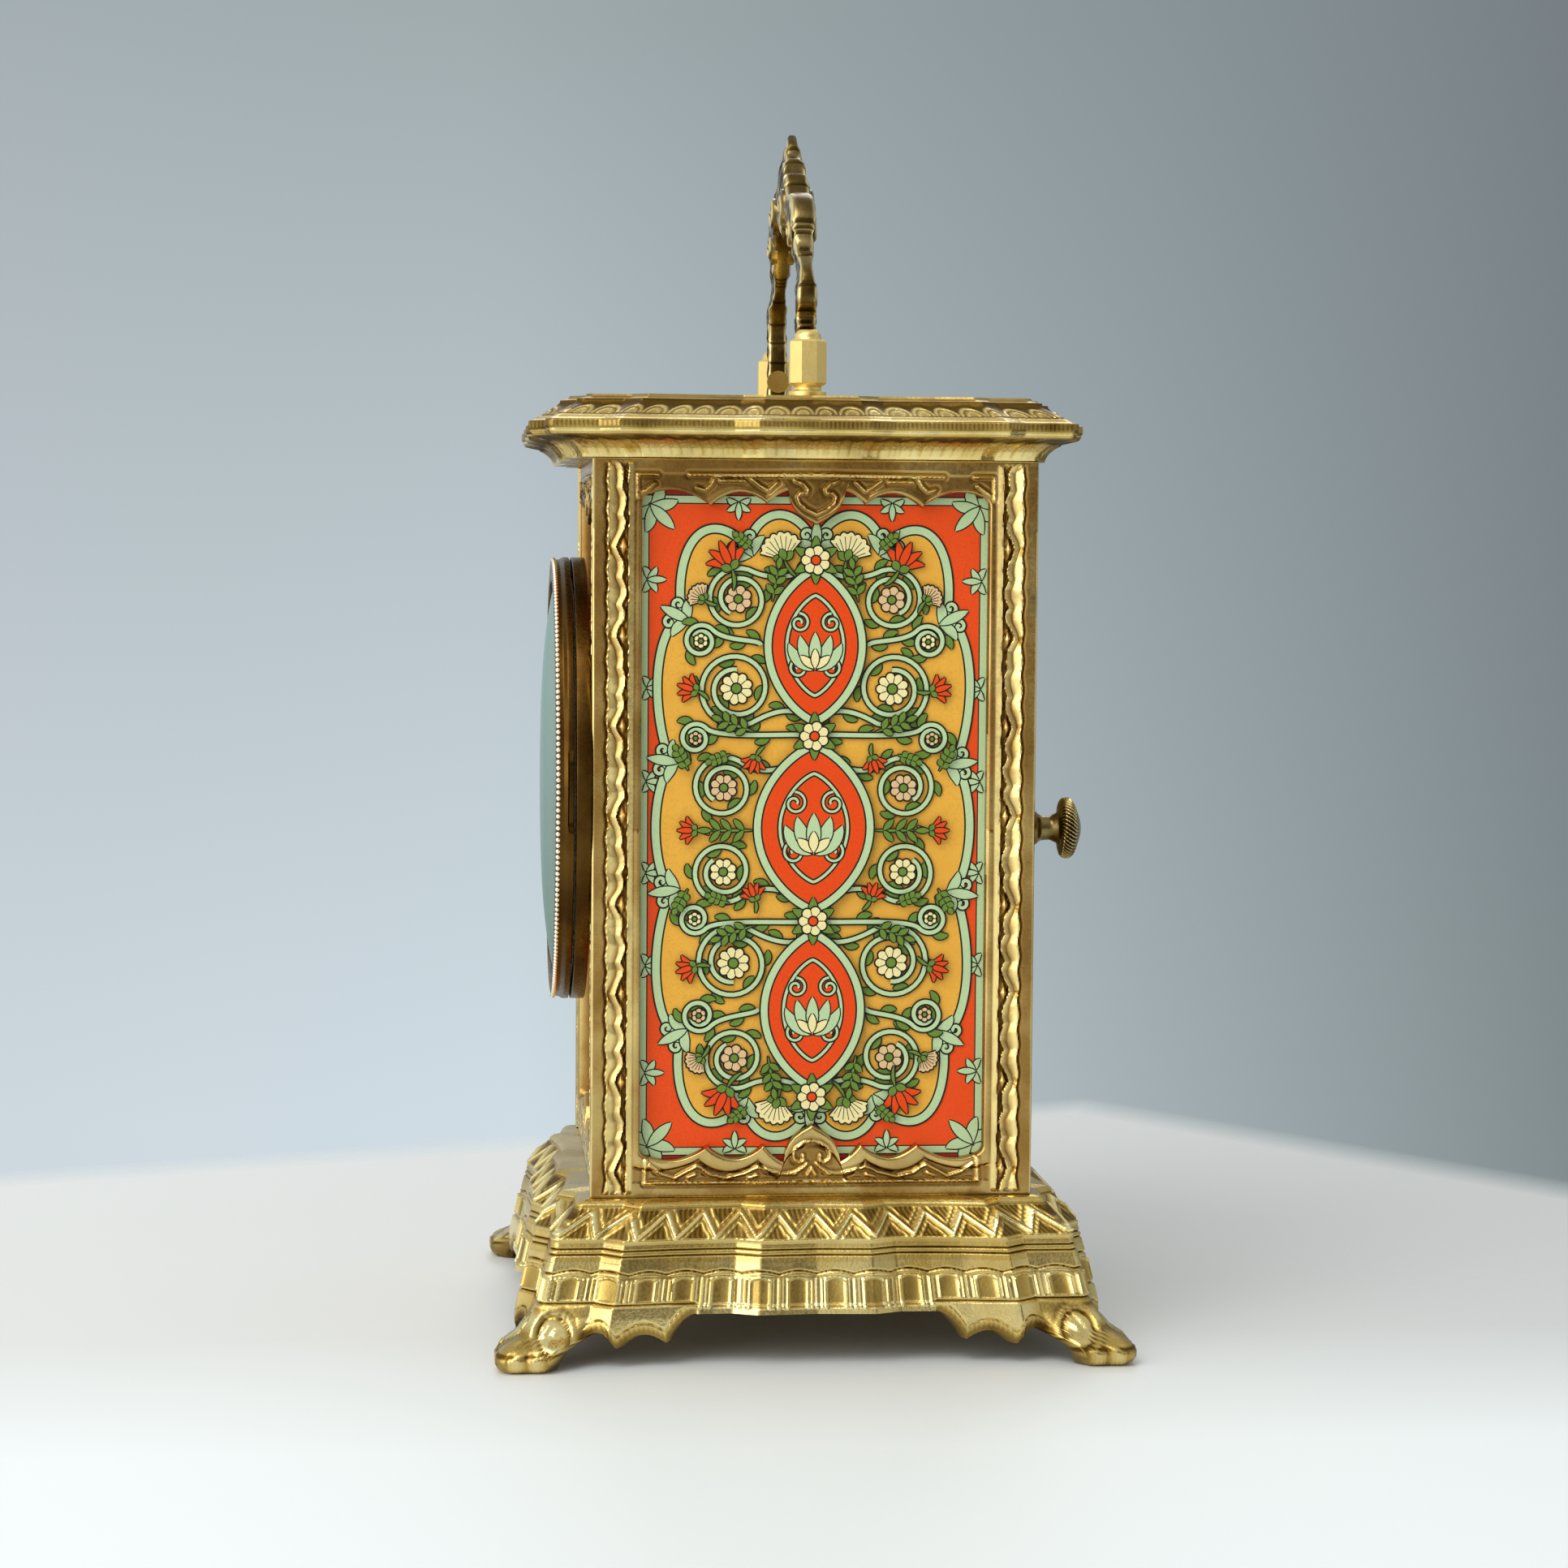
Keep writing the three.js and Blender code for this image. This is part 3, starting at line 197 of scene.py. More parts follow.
def eased(profile: list | Array, radius: float, steps: int = 3, closed: bool = False) -> Array:
    """Rounds the corners of a profile.

    A corner gives way to the curve (1-t)^2 a + 2t(1-t) corner + t^2 b, from one radius before it
    to one radius after it. A short edge limits the radius to under half its length.

    Args:
        profile: the corners, one a row.
        radius: how far from a corner its curve starts and ends.
        steps: spans of each curve.
        closed: whether the last corner joins the first.

    Returns:
        The points of the rounded profile.
    """
    corner = np.asarray(profile, float)

    def beside(way: int) -> Array:
        """A point on the edge to the neighbour of each corner.

        Args:
            way: 1 for the corner before and -1 for the one after.

        Returns:
            The points, one for each corner.
        """
        edge = np.roll(corner, way, 0) - corner
        length = np.maximum(np.linalg.norm(edge, axis=1, keepdims=True), TINY)
        return (corner + edge * np.minimum(radius / length, 0.45))[:, None]

    t = np.linspace(0, 1, steps + 1)[None, :, None]
    curve = (1 - t) ** 2 * beside(1) + 2 * t * (1 - t) * corner[:, None] + t**2 * beside(-1)
    if closed:
        return curve.reshape(-1, corner.shape[1])
    return np.concatenate([corner[:1], curve[1:-1].reshape(-1, corner.shape[1]), corner[-1:]])


def resampled(path: Array, count: int) -> Array:
    """A path as count points at even distances along it.

    Args:
        path: its points, one a row.
        count: how many points to give back.

    Returns:
        The points.
    """
    lengths = np.concatenate([[0], np.cumsum(np.linalg.norm(np.diff(path, axis=0), axis=1))])
    marks = np.linspace(0, lengths[-1], count)
    return np.stack([np.interp(marks, lengths, column) for column in path.T], 1)


def smooth_path(points: Array, count: int) -> Array:
    """A curve through points, each span the cubic set by its two ends and their neighbours.

    Args:
        points: what the curve passes through, one a row.
        count: how many points to give back.

    Returns:
        Points at even distances along the curve.
    """
    p = np.concatenate([2 * points[:1] - points[1:2], points, 2 * points[-1:] - points[-2:-1]])
    t = np.linspace(0, 1, 12, endpoint=False)[None, :, None]
    a, b, c, d = (p[i : len(p) - 3 + i, None] for i in range(4))
    square, cube = 2 * a - 5 * b + 4 * c - d, 3 * b - a - 3 * c + d
    span = 0.5 * (2 * b + (c - a) * t + square * t**2 + cube * t**3)
    return resampled(np.concatenate([span.reshape(-1, p.shape[1]), p[-2:-1]]), count)


def spiral(centre: tuple, radius: float, start: float, turns: float, inner: float = 0.2) -> Array:
    """A spiral that winds in to a share of its radius from a start angle, by a number of turns.

    Args:
        centre: of the spiral.
        radius: where it starts.
        start: its first angle in degrees.
        turns: how often it winds round, clockwise if negative.
        inner: share of the radius where it ends.

    Returns:
        Its points, from the outer end to the inner.
    """
    part = np.linspace(0, 1, int(26 * abs(turns)) + 8)
    reach = radius * (1 - (1 - inner) * part**1.2)
    return np.array(centre) + reach[:, None] * unit(np.radians(start) + TURN * turns * part)


# Finishes


def shade(colour: Colour) -> tuple[float, ...]:
    """Linear red, green, blue and full cover of a screen colour.

    Args:
        colour: values from 0 to 255.

    Returns:
        Values from 0 to 1.
    """
    screen = np.array(colour) / 255
    linear = np.where(screen <= 0.04045, screen / 12.92, ((screen + 0.055) / 1.055) ** 2.4)
    return (*map(float, linear), 1.0)


class Nodes:
    """The node tree of a material or a world, with short ways to add nodes and to join them.

    A value fed to a socket is another socket, a colour as a tuple, a vector as a list or a number.
    """

    def __init__(self, owner: bpy.types.Material | bpy.types.World) -> None:
        """Turns the owner's nodes on and adds the one that gives places.

        Args:
            owner: the material or world.
        """
        owner.use_nodes = True
        self.owner, self.tree = owner, owner.node_tree
        self.places = self.tree.nodes.new("ShaderNodeTexCoord").outputs

    def feed(self, target: Socket, value: object) -> None:
        """Joins a socket to an input, or sets the input to a plain value.

        Args:
            target: the input.
            value: what it gets.
        """
        if isinstance(value, Socket):
            self.tree.links.new(value, target)
        else:
            target.default_value = shade(value) if isinstance(value, tuple) else value

    def add(
        self, kind: str, inputs: dict | None = None, out: int | str = 0, **settings: object
    ) -> Socket:
        """Adds a node.

        Args:
            kind: of the node, without the usual prefix.
            inputs: what to feed, by each input's name or number.
            out: the output that is wanted.
            **settings: the node's properties.

        Returns:
            The wanted output.
        """
        node = self.tree.nodes.new(f"ShaderNode{kind}")
        for key, value in settings.items():
            setattr(node, key, value)
        for key, value in (inputs or {}).items():
            self.feed(node.inputs[key], value)
        return node.outputs[out]

    def set(self, **inputs: object) -> None:
        """Feeds the shader's inputs, named with underscores for spaces."""
        for key, value in inputs.items():
            self.feed(self.tree.nodes["Principled BSDF"].inputs[key.replace("_", " ")], value)

    def noise(self, size: float, detail: float = 3.0, stretch: tuple = (1, 1, 1)) -> Socket:
        """Noise with features of a size, longer by the stretch along X, Y and Z, about 0.5.

        Args:
            size: of its features, in millimetres.
            detail: octaves of finer noise.
            stretch: how many times longer its features are along X, Y and Z.

        Returns:
            The noise, about 0.5 in the middle.
        """
        scale = [1 / (size * MM * times) for times in stretch]
        place = self.add("Mapping", {"Scale": scale, "Vector": self.places["Object"]})
        return self.add("TexNoise", {"Scale": 1.0, "Detail": detail, "Vector": place}, "Fac")

    def ramp(self, value: Socket, stops: tuple) -> Socket:
        """A colour picked from stops by a value.

        Args:
            value: what picks.
            stops: places and their colours.

        Returns:
            The colour.
        """
        made = self.add("ValToRGB", {"Fac": value})
        elements = made.node.color_ramp.elements
        while len(elements) < len(stops):
            elements.new(0.5)
        for element, (place, colour) in zip(elements, stops):
            element.position, element.color = place, shade(colour)
        return made

    def mix(self, share: object, first: object, second: object) -> Socket:
        """The first colour where share is 0 and the second where it is 1."""
        return self.add("Mix", {0: share, 6: first, 7: second}, 2, data_type="RGBA")

    def remap(self, value: Socket, source: tuple, target: tuple = (0.0, 1.0)) -> Socket:
        """Maps a value from one range to another, clamped."""
        return self.add("MapRange", dict(enumerate((value, *source, *target))))

    def math(self, kind: str, first: object, second: object) -> Socket:
        """One arithmetic step on two values."""
        return self.add("Math", {0: first, 1: second}, operation=kind)

    def emboss(self, height: Socket, depth: float) -> None:
        """Roughens the shader's normal by a height field of a depth in millimetres."""
        inputs = {"Strength": 1.0, "Distance": depth * MM, "Height": height}
        self.set(Normal=self.add("Bump", inputs))


@dataclass(frozen=True)
class Metal:
    """Metal whose ridges are rubbed bright and whose hollows hold a dark patina. On some pieces the
    tone that picks between them also holds painted light and shade.

    A carved piece tells ridge from hollow by its relief attribute, any other by slow noise.
    """

    name: str
    ridge: Colour
    plain: Colour
    hollow: Colour
    gloss: float  # roughness of the ridges
    dull: float  # roughness of the hollows
    grain: float  # size of the surface grain
    depth: float  # of that grain
    stain: float  # how much of it is stained, 0 to 1
    carved: bool = False
    stretch: tuple = (1, 1, 1)  # of the grain along X, Y and Z

    def material(self) -> bpy.types.Material:
        """Builds the finish.

        Returns:
            The material.
        """
        nodes = Nodes(bpy.data.materials.new(self.name))
        slow, fine = nodes.noise(9.0, 4.0), nodes.noise(self.grain, 3.0, self.stretch)
        if self.carved:
            relief = nodes.add("Attribute", out="Fac", attribute_name="relief")
            level = nodes.math("ADD", relief, nodes.remap(slow, MIDST, (-0.12, 0.12)))
        else:
            level = nodes.remap(slow, MIDST, (0.42, 0.66))
        colour = nodes.ramp(level, ((0.16, self.hollow), (0.47, self.plain), (0.8, self.ridge)))
        blotch = nodes.remap(nodes.noise(4.5), (0.5, 0.78), (0.0, self.stain))
        rough = nodes.remap(level, (0.2, 0.8), (self.dull, self.gloss))
        uneven = nodes.remap(fine, MIDST, (-0.07, 0.07))
        nodes.set(Base_Color=nodes.mix(blotch, colour, self.hollow), Metallic=1.0)
        nodes.set(Roughness=nodes.math("ADD", rough, uneven))
        nodes.emboss(fine, self.depth)
        return nodes.owner


@dataclass(frozen=True)
class Paint:
    """Printed or painted metal: a speckled colour under a thin varnish."""

    name: str
    colour: Colour
    speck: Colour
    rough: float = 0.5
    varnish: float = 0.04

    def material(self) -> bpy.types.Material:
        """Builds the finish.

        Returns:
            The material.
        """
        nodes = Nodes(bpy.data.materials.new(self.name))
        fine, slow = nodes.noise(0.35, 2.0), nodes.noise(7.0, 4.0)
        speckle = nodes.remap(fine, (0.42, 0.75), (0.0, 0.5))
        share = nodes.math("MAXIMUM", speckle, nodes.remap(slow, (0.45, 0.75), (0.0, 0.4)))
        rough = nodes.remap(slow, MIDST, (self.rough - 0.06, self.rough + 0.1))
        nodes.set(Base_Color=nodes.mix(share, self.colour, self.speck), Roughness=rough)
        nodes.set(Coat_Weight=self.varnish, Coat_Roughness=0.22, Specular_IOR_Level=0.2)
        nodes.emboss(fine, 0.004)
        return nodes.owner


@dataclass(frozen=True)
class Glass:
    """Thick clock glass: clear, with the green of its depth at a grazing view."""

    name: str
    tint: Colour
    depth: Colour

    def material(self) -> bpy.types.Material:
        """Builds the finish.

        Returns:
            The material.
        """
        nodes = Nodes(bpy.data.materials.new(self.name))
        grazing = nodes.add("LayerWeight", {"Blend": 0.35}, "Facing")
        nodes.set(
            Base_Color=nodes.mix(nodes.remap(grazing, (0.42, 0.84)), self.tint, self.depth),
            Roughness=nodes.remap(nodes.noise(5.0), MIDST, (0.02, 0.06)),
            Transmission_Weight=nodes.remap(grazing, (0.55, 0.88), (1.0, 0.08)),
            IOR=nodes.remap(grazing, (0.55, 0.88), (1.5, 1.1)),
        )
        return nodes.owner


class Finish(Enum):
    """Every finish of the clock."""

    GILT = Metal(
        "gilt_cast", (250, 234, 168), (206, 176, 98), (100, 74, 26), 0.16, 0.4, 0.45, 0.035, 0.45, True
    )
    AGED = Metal(
        "gilt_aged", (242, 220, 154), (96, 76, 36), (38, 28, 11), 0.2, 0.36, 0.5, 0.01, 0.3, True
    )
    BRONZE = Metal(
        "bronze_cast", (242, 216, 142), (163, 126, 66), (84, 56, 20), 0.17, 0.34, 0.7, 0.016, 0.35, True
    )
    TURNED = Metal(
        "gilt_turned", (196, 162, 92), (122, 92, 42), (60, 42, 14), 0.18, 0.34, 0.5, 0.01, 0.45
    )
    LACQUERED = Metal(
        "bronze_lacquered", (130, 96, 42), (70, 46, 16), (28, 16, 4), 0.24, 0.36, 0.5, 0.01, 0.6
    )
    POLISHED = Metal(
        "gilt_polished", (252, 232, 158), (240, 210, 130), (150, 116, 56), 0.34, 0.46, 0.3, 0.012, 0.15
    )
    PEARL = Metal(
        "gilt_pearl", (255, 250, 232), (250, 240, 214), (190, 166, 118), 0.2, 0.3, 0.3, 0.004, 0.1
    )
    BRASS = Metal(
        "brass_brushed", (236, 210, 140), (206, 172, 96), (120, 92, 44), 0.22, 0.36, 0.18, 0.006, 0.2,
        stretch=(6, 1, 1),
    )
    STEEL = Metal(
        "steel_polished", (206, 210, 214), (160, 164, 168), (84, 84, 86), 0.18, 0.34, 0.2, 0.005, 0.15,
        stretch=(1, 5, 1),
    )
    BLUED = Metal("steel_blued", (70, 92, 150), (34, 48, 92), (18, 24, 44), 0.2, 0.32, 0.3, 0.004, 0.1)
    ENAMEL = Paint("dial_cream", (233, 223, 196), (214, 200, 166), 0.34, 0.5)
    GROUND = Paint("print_orange", (232, 78, 18), (206, 60, 14))
    GLASS = Glass("clock_glass", (226, 246, 236), (30, 132, 98))


class Ink(Enum):
    """The inks of the printed panels, in the order of their material slots."""

    LINE = Paint("ink_line", (30, 26, 12), (20, 18, 10))
    OCHRE = Paint("ink_ochre", (230, 172, 64), (208, 146, 50))
    MINT = Paint("ink_mint", (184, 208, 160), (166, 192, 142))
    ORANGE = Paint("ink_orange", (228, 72, 6), (202, 56, 8))
    OLIVE = Paint("ink_olive", (104, 134, 50), (84, 112, 40))
    CREAM = Paint("ink_cream", (236, 224, 164), (218, 202, 136))
    BLUSH = Paint("ink_blush", (218, 186, 138), (202, 160, 112))
    RED = Paint("ink_red", (160, 40, 22), (130, 30, 18))


@cache
def material_of(finish: Enum) -> bpy.types.Material:
    """The material of a finish or an ink, made once."""
    return finish.value.material()


# Pieces


def linked(name: str, data: bpy.types.ID) -> bpy.types.Object:
    """A new object that holds the data, put into the scene.

    Args:
        name: of the object.
        data: a mesh, a curve, a camera or a lamp.

    Returns:
        The object.
    """
    made = bpy.data.objects.new(name, data)
    bpy.context.scene.collection.objects.link(made)
    return made


@dataclass
class Patch:
    """A grid of points in millimetres, as rows and columns.

    Its tone tells a carved finish how bright each point is drawn, from a dark hollow at 0 to a bright
    ridge at 1: rubbing and patina, and on some pieces painted light and shade. Its finish is a number
    in its piece's list.
    """

    points: Array
    around: bool = False  # the columns close on themselves
    along: bool = False  # the rows close on themselves
    tone: Array | None = None
    finish: int = 0

    def quads(self) -> Array:
        """Corner numbers of the grid's faces, four a face.

        Returns:
            The numbers, a face in each row.
        """
        rows, columns = self.points.shape[:2]
        i = np.arange(rows if self.along else rows - 1)[:, None]
        j = np.arange(columns if self.around else columns - 1)[None, :]
        below, beside = (i + 1) % rows * columns, (j + 1) % columns
        corners = (i * columns + j, i * columns + beside, below + beside, below + j)
        return np.stack(np.broadcast_arrays(*corners), -1).reshape(-1, 4)

    def tones(self) -> Array:
        """The tone of each point in turn, half way where none is given."""
        count = self.points[..., 0].size
        return np.full(count, 0.5) if self.tone is None else self.tone.reshape(count)

    def moved(self, matrix: Matrix) -> "Patch":
        """The same patch after a turn or a shift, in millimetres."""
        points = self.points @ np.array(matrix.to_3x3()).T + np.array(matrix.translation)
        return replace(self, points=points)


@dataclass
class Piece:
    """A visible piece: its patches and finishes, what it rides on and what it stands for."""

    name: str
    patches: list[Patch]
    finishes: list[Enum]
    body: Body
    slot: Slot
    replaces: tuple[str, ...] = ()
    sharp: float = 38  # degrees between faces that meet in an edge
    closed: bool = True

    def build(self) -> None:
        """Makes the mesh from the patches and places it."""
        quads, start = [], 0
        for patch in self.patches:
            quads.append(patch.quads() + start)
            start += patch.points[..., 0].size
        points = np.concatenate([patch.points.reshape(-1, 3) for patch in self.patches]) * MM
        tones = np.concatenate([patch.tones() for patch in self.patches])
        slots = np.repeat([patch.finish for patch in self.patches], [len(part) for part in quads])
        faces = np.concatenate(quads)
        mesh = bpy.data.meshes.new(self.name)
        mesh.vertices.add(len(points))
        mesh.loops.add(faces.size)
        mesh.polygons.add(len(faces))
        mesh.vertices.foreach_set("co", points.astype(np.float32).ravel())
        mesh.loops.foreach_set("vertex_index", faces.astype(np.int32).ravel())
        mesh.polygons.foreach_set("loop_start", np.arange(0, faces.size, 4, dtype=np.int32))
        mesh.polygons.foreach_set("material_index", slots.astype(np.int32))
        relief = mesh.attributes.new("relief", "FLOAT", "POINT")
        relief.data.foreach_set("value", tones.astype(np.float32))
        mesh.update(calc_edges=True)
        self.smooth(mesh)
        self.place(mesh)

    def smooth(self, mesh: bpy.types.Mesh) -> None:
        """Merges seams and poles, points the faces outwards and sets the shading.

        Args:
            mesh: the piece's mesh.
        """
        joined = bmesh.new()
        joined.from_mesh(mesh)
        bmesh.ops.remove_doubles(joined, verts=joined.verts, dist=MERGE)
        if self.closed:
            bmesh.ops.recalc_face_normals(joined, faces=joined.faces)
        joined.to_mesh(mesh)
        joined.free()
        mesh.polygons.foreach_set("use_smooth", np.ones(len(mesh.polygons), dtype=bool))
        mesh.set_sharp_from_angle(angle=math.radians(self.sharp))

    def place(self, mesh: bpy.types.Mesh) -> None:
        """Puts a mesh into the scene as this piece, dressed and riding on its body.

        Args:
            mesh: the piece's mesh.
        """
        for finish in self.finishes:
            mesh.materials.append(material_of(finish))
        made = linked(self.name, mesh)
        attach(made, self.body.value)
        if self.replaces:
            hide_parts(*self.replaces)
        log.info("%s: %d faces on %s", self.name, len(mesh.polygons), self.body.value)


def turn_to(side: Side) -> Matrix:
    """The turn about +Z that takes a form drawn as the front to a side."""
    return Matrix.Rotation(math.radians(side.value), 4, "Z")


def turned(
    profile: Array, segments: int, centre: tuple, upright: bool = False, closed: bool = False
) -> Patch:
    """A form of revolution: each profile point (radius, height) is carried round the axis.

    Args:
        profile: points of radius and height along the axis.
        segments: columns round the axis.
        centre: where radius and height are zero.
        upright: whether the axis is Z rather than Y.
        closed: whether the profile closes on itself, as a ring's does.

    Returns:
        The patch.
    """
    flat = profile[:, :1, None] * unit(circle(segments))[None]
    height = np.broadcast_to(profile[:, 1:2], flat.shape[:2])
    points = np.dstack([flat, height]) if upright else np.dstack([flat[..., 0], height, flat[..., 1]])
    return Patch(points + np.array(centre, float), around=True, along=closed)


def casting(outer: Array, inner: Array, tone: Array, inside: float) -> Patch:
    """A closed casting from its carved outer and its plain inner rows.

    Args:
        outer: points of the carved side.
        inner: points of the plain side.
        tone: of each point of the carved side.
        inside: tone of the whole plain side.

    Returns:
        The patch.
    """
    tones = np.concatenate([tone, np.full(inner.shape[:2], inside)])
    return Patch(np.concatenate([outer, inner]), around=True, along=True, tone=tones)


# Base and lid


@dataclass(frozen=True)
class Serpentine:
    """The outline that base and lid share.

    Along half a side, from its middle to its corner, the line stands out by a bulge times a share.
    """

    bulge: float = 2.3
    columns: int = 360  # of a side
    along_shares: tuple = (0, 0.21, 0.3, 0.43, 0.55, 0.64, 0.73, 0.8, 0.975)
    out_shares: tuple = (0.75, 1, 0.3, 0.38, 0.55, 0.78, 1, 0, 0)

    def share(self) -> Array:
        """Place of each column along its side, from -1 to 1, for all four sides."""
        end = self.along_shares[-1]
        return np.tile(np.linspace(-end, end, self.columns), 4)[None, :]

    def rings(self, half: Array, height: Array, bulge_share: Array | float = 1.0) -> Array:
        """Points of stacked outlines.

        A side lies at minus its half width less the bulge, and each next side is turned a quarter.

        Args:
            half: half the width of each row, or of each point.
            height: of each row, or of each point.
            bulge_share: how much of the bulge each row keeps.

        Returns:
            The points, as rows and columns.
        """
        share = self.share()
        out = np.interp(np.abs(share), self.along_shares, self.out_shares) * self.bulge * bulge_share
        half = half + 0 * share
        x, y = share * half, -half - out
        quarter = np.repeat(np.arange(4), self.columns)[None, :] * math.pi / 2
        cos, sin = np.cos(quarter), np.sin(quarter)
        return np.stack([x * cos - y * sin, x * sin + y * cos, height + 0 * x], -1)


@dataclass
class Base:
    """The flared base: a deck with a zigzag band, a panelled skirt, a cusped apron and scroll feet."""

    outline: Serpentine = Serpentine()
    joint: float = 15.0  # where the band meets the skirt
    fold: float = 9.2  # lower end of the skirt's panels
    wall: float = 2.2
    deck: float = 2.4
    nominal: float = 39.0  # half width that the ornament is drawn for
    apron_height: float = 7.7
    cusp_height: float = 3.6
    panel: float = 5.4  # from one panel of the skirt to the next
    boss: tuple = (38.7, 5.0)  # middle of the leafy boss on a foot
    boss_radius: float = 2.1
    bracket: tuple = (0.427, 0.535)  # shares of the half side where the edge drops to the first cusp
    zigzag: tuple = (20.2, 1.5, 5.9)  # middle height, swing and period
    band_lines: tuple = ((16.8, 0.2, -0.3), (16.0, 0.2, -0.3), (22.3, 0.16, -0.24), (18.2, 0.3, 0.12))
    panel_ribs: tuple = ((1.45, 0.24, 0.32), (2.0, 0.2, 0.26), (2.7, 0.26, 0.3))
    boss_rings: tuple = ((2.3, 0.3, -0.4), (3.0, 0.4, 0.16), (3.7, 0.3, -0.2))
    band: tuple = (
        (15.0, 39.5), (16.7, 39.1), (17.5, 38.8), (18.5, 38.75), (19.2, 38.1), (22.3, 35.3),
        (22.7, 35.1), (23.2, 34.5),
    )
    flare: tuple = ((8.9, 41.2), (9.2, 40.9), (14.5, 39.65), (15.0, 39.5))
    apron: tuple = ((0, 42.2), (3.0, 42.0), (7.2, 41.5), *flare)
    foot: tuple = (
        (0, 45.5), (0.5, 46.5), (1.4, 47.0), (2.6, 47.0), (3.6, 45.8), (4.8, 43.7), (7.2, 41.8), *flare
    )

    def edge(self, share: Array) -> Array:
        """Height of the lower edge: arches between cusps, then the foot.

        Each span is a straight run between its end heights plus a half sine of its rise.

        Args:
            share: place along the side, from -1 to 1.

        Returns:
            The heights.
        """
        start, end = self.bracket
        spans = (
            (0.0, start, self.apron_height, self.apron_height, 0.0),
            (end, 0.71, self.cusp_height, 3.0, 1.6),
            (0.71, 0.825, 3.0, 3.0, 2.3),
            (0.825, 0.84, 3.0, 1.4, 0.0),
            (0.84, 0.88, 1.4, 0.0, -0.2),
        )
        place = np.abs(share)
        height = np.zeros_like(place)
        for low, high, first, last, rise in spans:
            part = np.clip((place - low) / (high - low), 0, 1)
            arch = first + (last - first) * part + rise * np.sin(math.pi * part)
            height = np.where((place >= low) & (place <= high), arch, height)
        part = np.clip((place - start) / (end - start), 0, 1)
        drop = (self.apron_height - self.cusp_height) * np.cos(part * math.pi / 2) ** 0.8
        return np.where((place > start) & (place < end), self.cusp_height + drop, height)

    def band_relief(self, t: Array, z: Array) -> Array:
        """Zigzag ridges with leaves between, the moulding lines and the rim.

        Args:
            t: place along the side.
            z: height of each point.

        Returns:
            How far each point stands out.
        """
        middle, swing, period = self.zigzag
        off = np.abs(z - middle - swing * sawtooth(t / period) - 0.1 * np.sin(t)) * 0.7
        zigzag = ridges(off, (0, 0.45, 0.55), (0.95, 0.28, 0.26)) - 0.22 * np.minimum(off, 1)
        leaves = 0.05 * np.cos(TURN * t / 0.8 + z * 3) * step(0.4, 0.6, off)
        field = within(z, (18.2, 18.5), (22.0, 22.2))
        return field * (zigzag + leaves - 0.05) + ridges(z, *self.band_lines)

    def skirt_relief(self, t: Array, z: Array, share: Array, reach: Array) -> Array:
        """Arched panels between slim ribs under a scalloped line, and the carving below.

        A panel's head and the scallop above it are arcs that fall off from the panel's middle.

        Args:
            t: place along the side.
            z: height of each point.
            share: place along the side, from -1 to 1.
            reach: how far out the skirt lies.

        Returns:
            How far each point stands out.
        """
        outer = step(0.42, 0.44, np.abs(share))
        place = np.abs(beat(t, self.panel))
        ribs = ridges(place, *self.panel_ribs)
        ribs = ribs * (1 - step(12.5, 12.9, z - 0.1 * np.sin(t)))
        panel = np.clip(1 - (place / 1.4) ** 2, 0, 1)
        head = 0.26 * crest(z - 12.5 - 0.4 * panel, 0.24) * (place < 1.5)
        scallop = 13.3 + 0.5 * np.cos(math.pi * place / self.panel)
        line = -0.34 * (crest(z - scallop, 0.22) + outer * crest(z - 9.15, 0.22))
        zone = within(z, (8.3 + 1.1 * outer, 8.7 + 1.1 * outer), (13.0, 13.2))
        low = outer * (1 - step(8.2, 8.8, z))
        carving = low * self.carving(np.abs(share) * reach, z, share)
        return zone * (ribs + head - 0.12 * panel - 0.06) + line + carving

    def carving(self, x: Array, z: Array, share: Array) -> Array:
        """Carving below the fold: a ribbed bevel along the edge, a leafy boss and toes on the feet.

        Args:
            x: distance from the middle of the side.
            z: height of each point.
            share: place along the side, from -1 to 1.

        Returns:
            How far each point stands out.
        """
        rim = z - self.edge(share)
        ribs = 0.05 * np.cos(TURN * x / 0.7)
        bevel = np.where(rim < 1.6, ribs - 0.5 * (1 - rim / 1.6), 0) - 0.26 * crest(rim - 1.7, 0.2)
        away = np.hypot(x - self.boss[0], z - self.boss[1])
        leaf = 0.42 * dome(away / self.boss_radius) * (1 + 0.4 * np.sin(3.6 * x) * np.sin(3.2 * z))
        boss = leaf + ridges(away, *self.boss_rings)
        toes = 0.3 * np.abs(np.cos(math.pi * (x - 38.1) / 3.0)) ** 0.6 + 0.03 * np.cos(TURN * x / 0.6)
        lift = z - 2.7 - 0.15 * np.sin(1.9 * x)
        above = step(-0.1, 0.15, lift)
        foot = above * boss + (1 - above) * (toes - 0.15) - 0.45 * crest(lift, 0.24)
        blend = step(34.9, 35.6, x)
        return (1 - blend) * bevel + blend * foot

    def pieces(self) -> list[Piece]:
        """The band with its deck, and the skirt with its feet. Both stand for one casting.

        Returns:
            Both pieces.
        """
        share = self.outline.share()
        t = share * self.nominal
        heights, reaches = np.array(self.band).T
        top, floor = heights[-1], heights[-1] - self.deck
        z = np.linspace(self.joint, top, 60)[:, None]
        relief = self.band_relief(t, z)
        outer = self.outline.rings(np.interp(z, heights, reaches) + relief, z)
        # The deck runs in to the middle, down through it and out again below, then to the joint.
        under = ((20, top), (0, top), (0, floor), (36.0, floor), (reaches[0] - self.wall, self.joint))
        half, height = np.hsplit(np.array(under), 2)
        inner = self.outline.rings(half, height, np.array([[0.3], [0], [0], [1], [1]]))
        band = casting(outer, inner, 0.5 + relief / 0.8, 0.35)

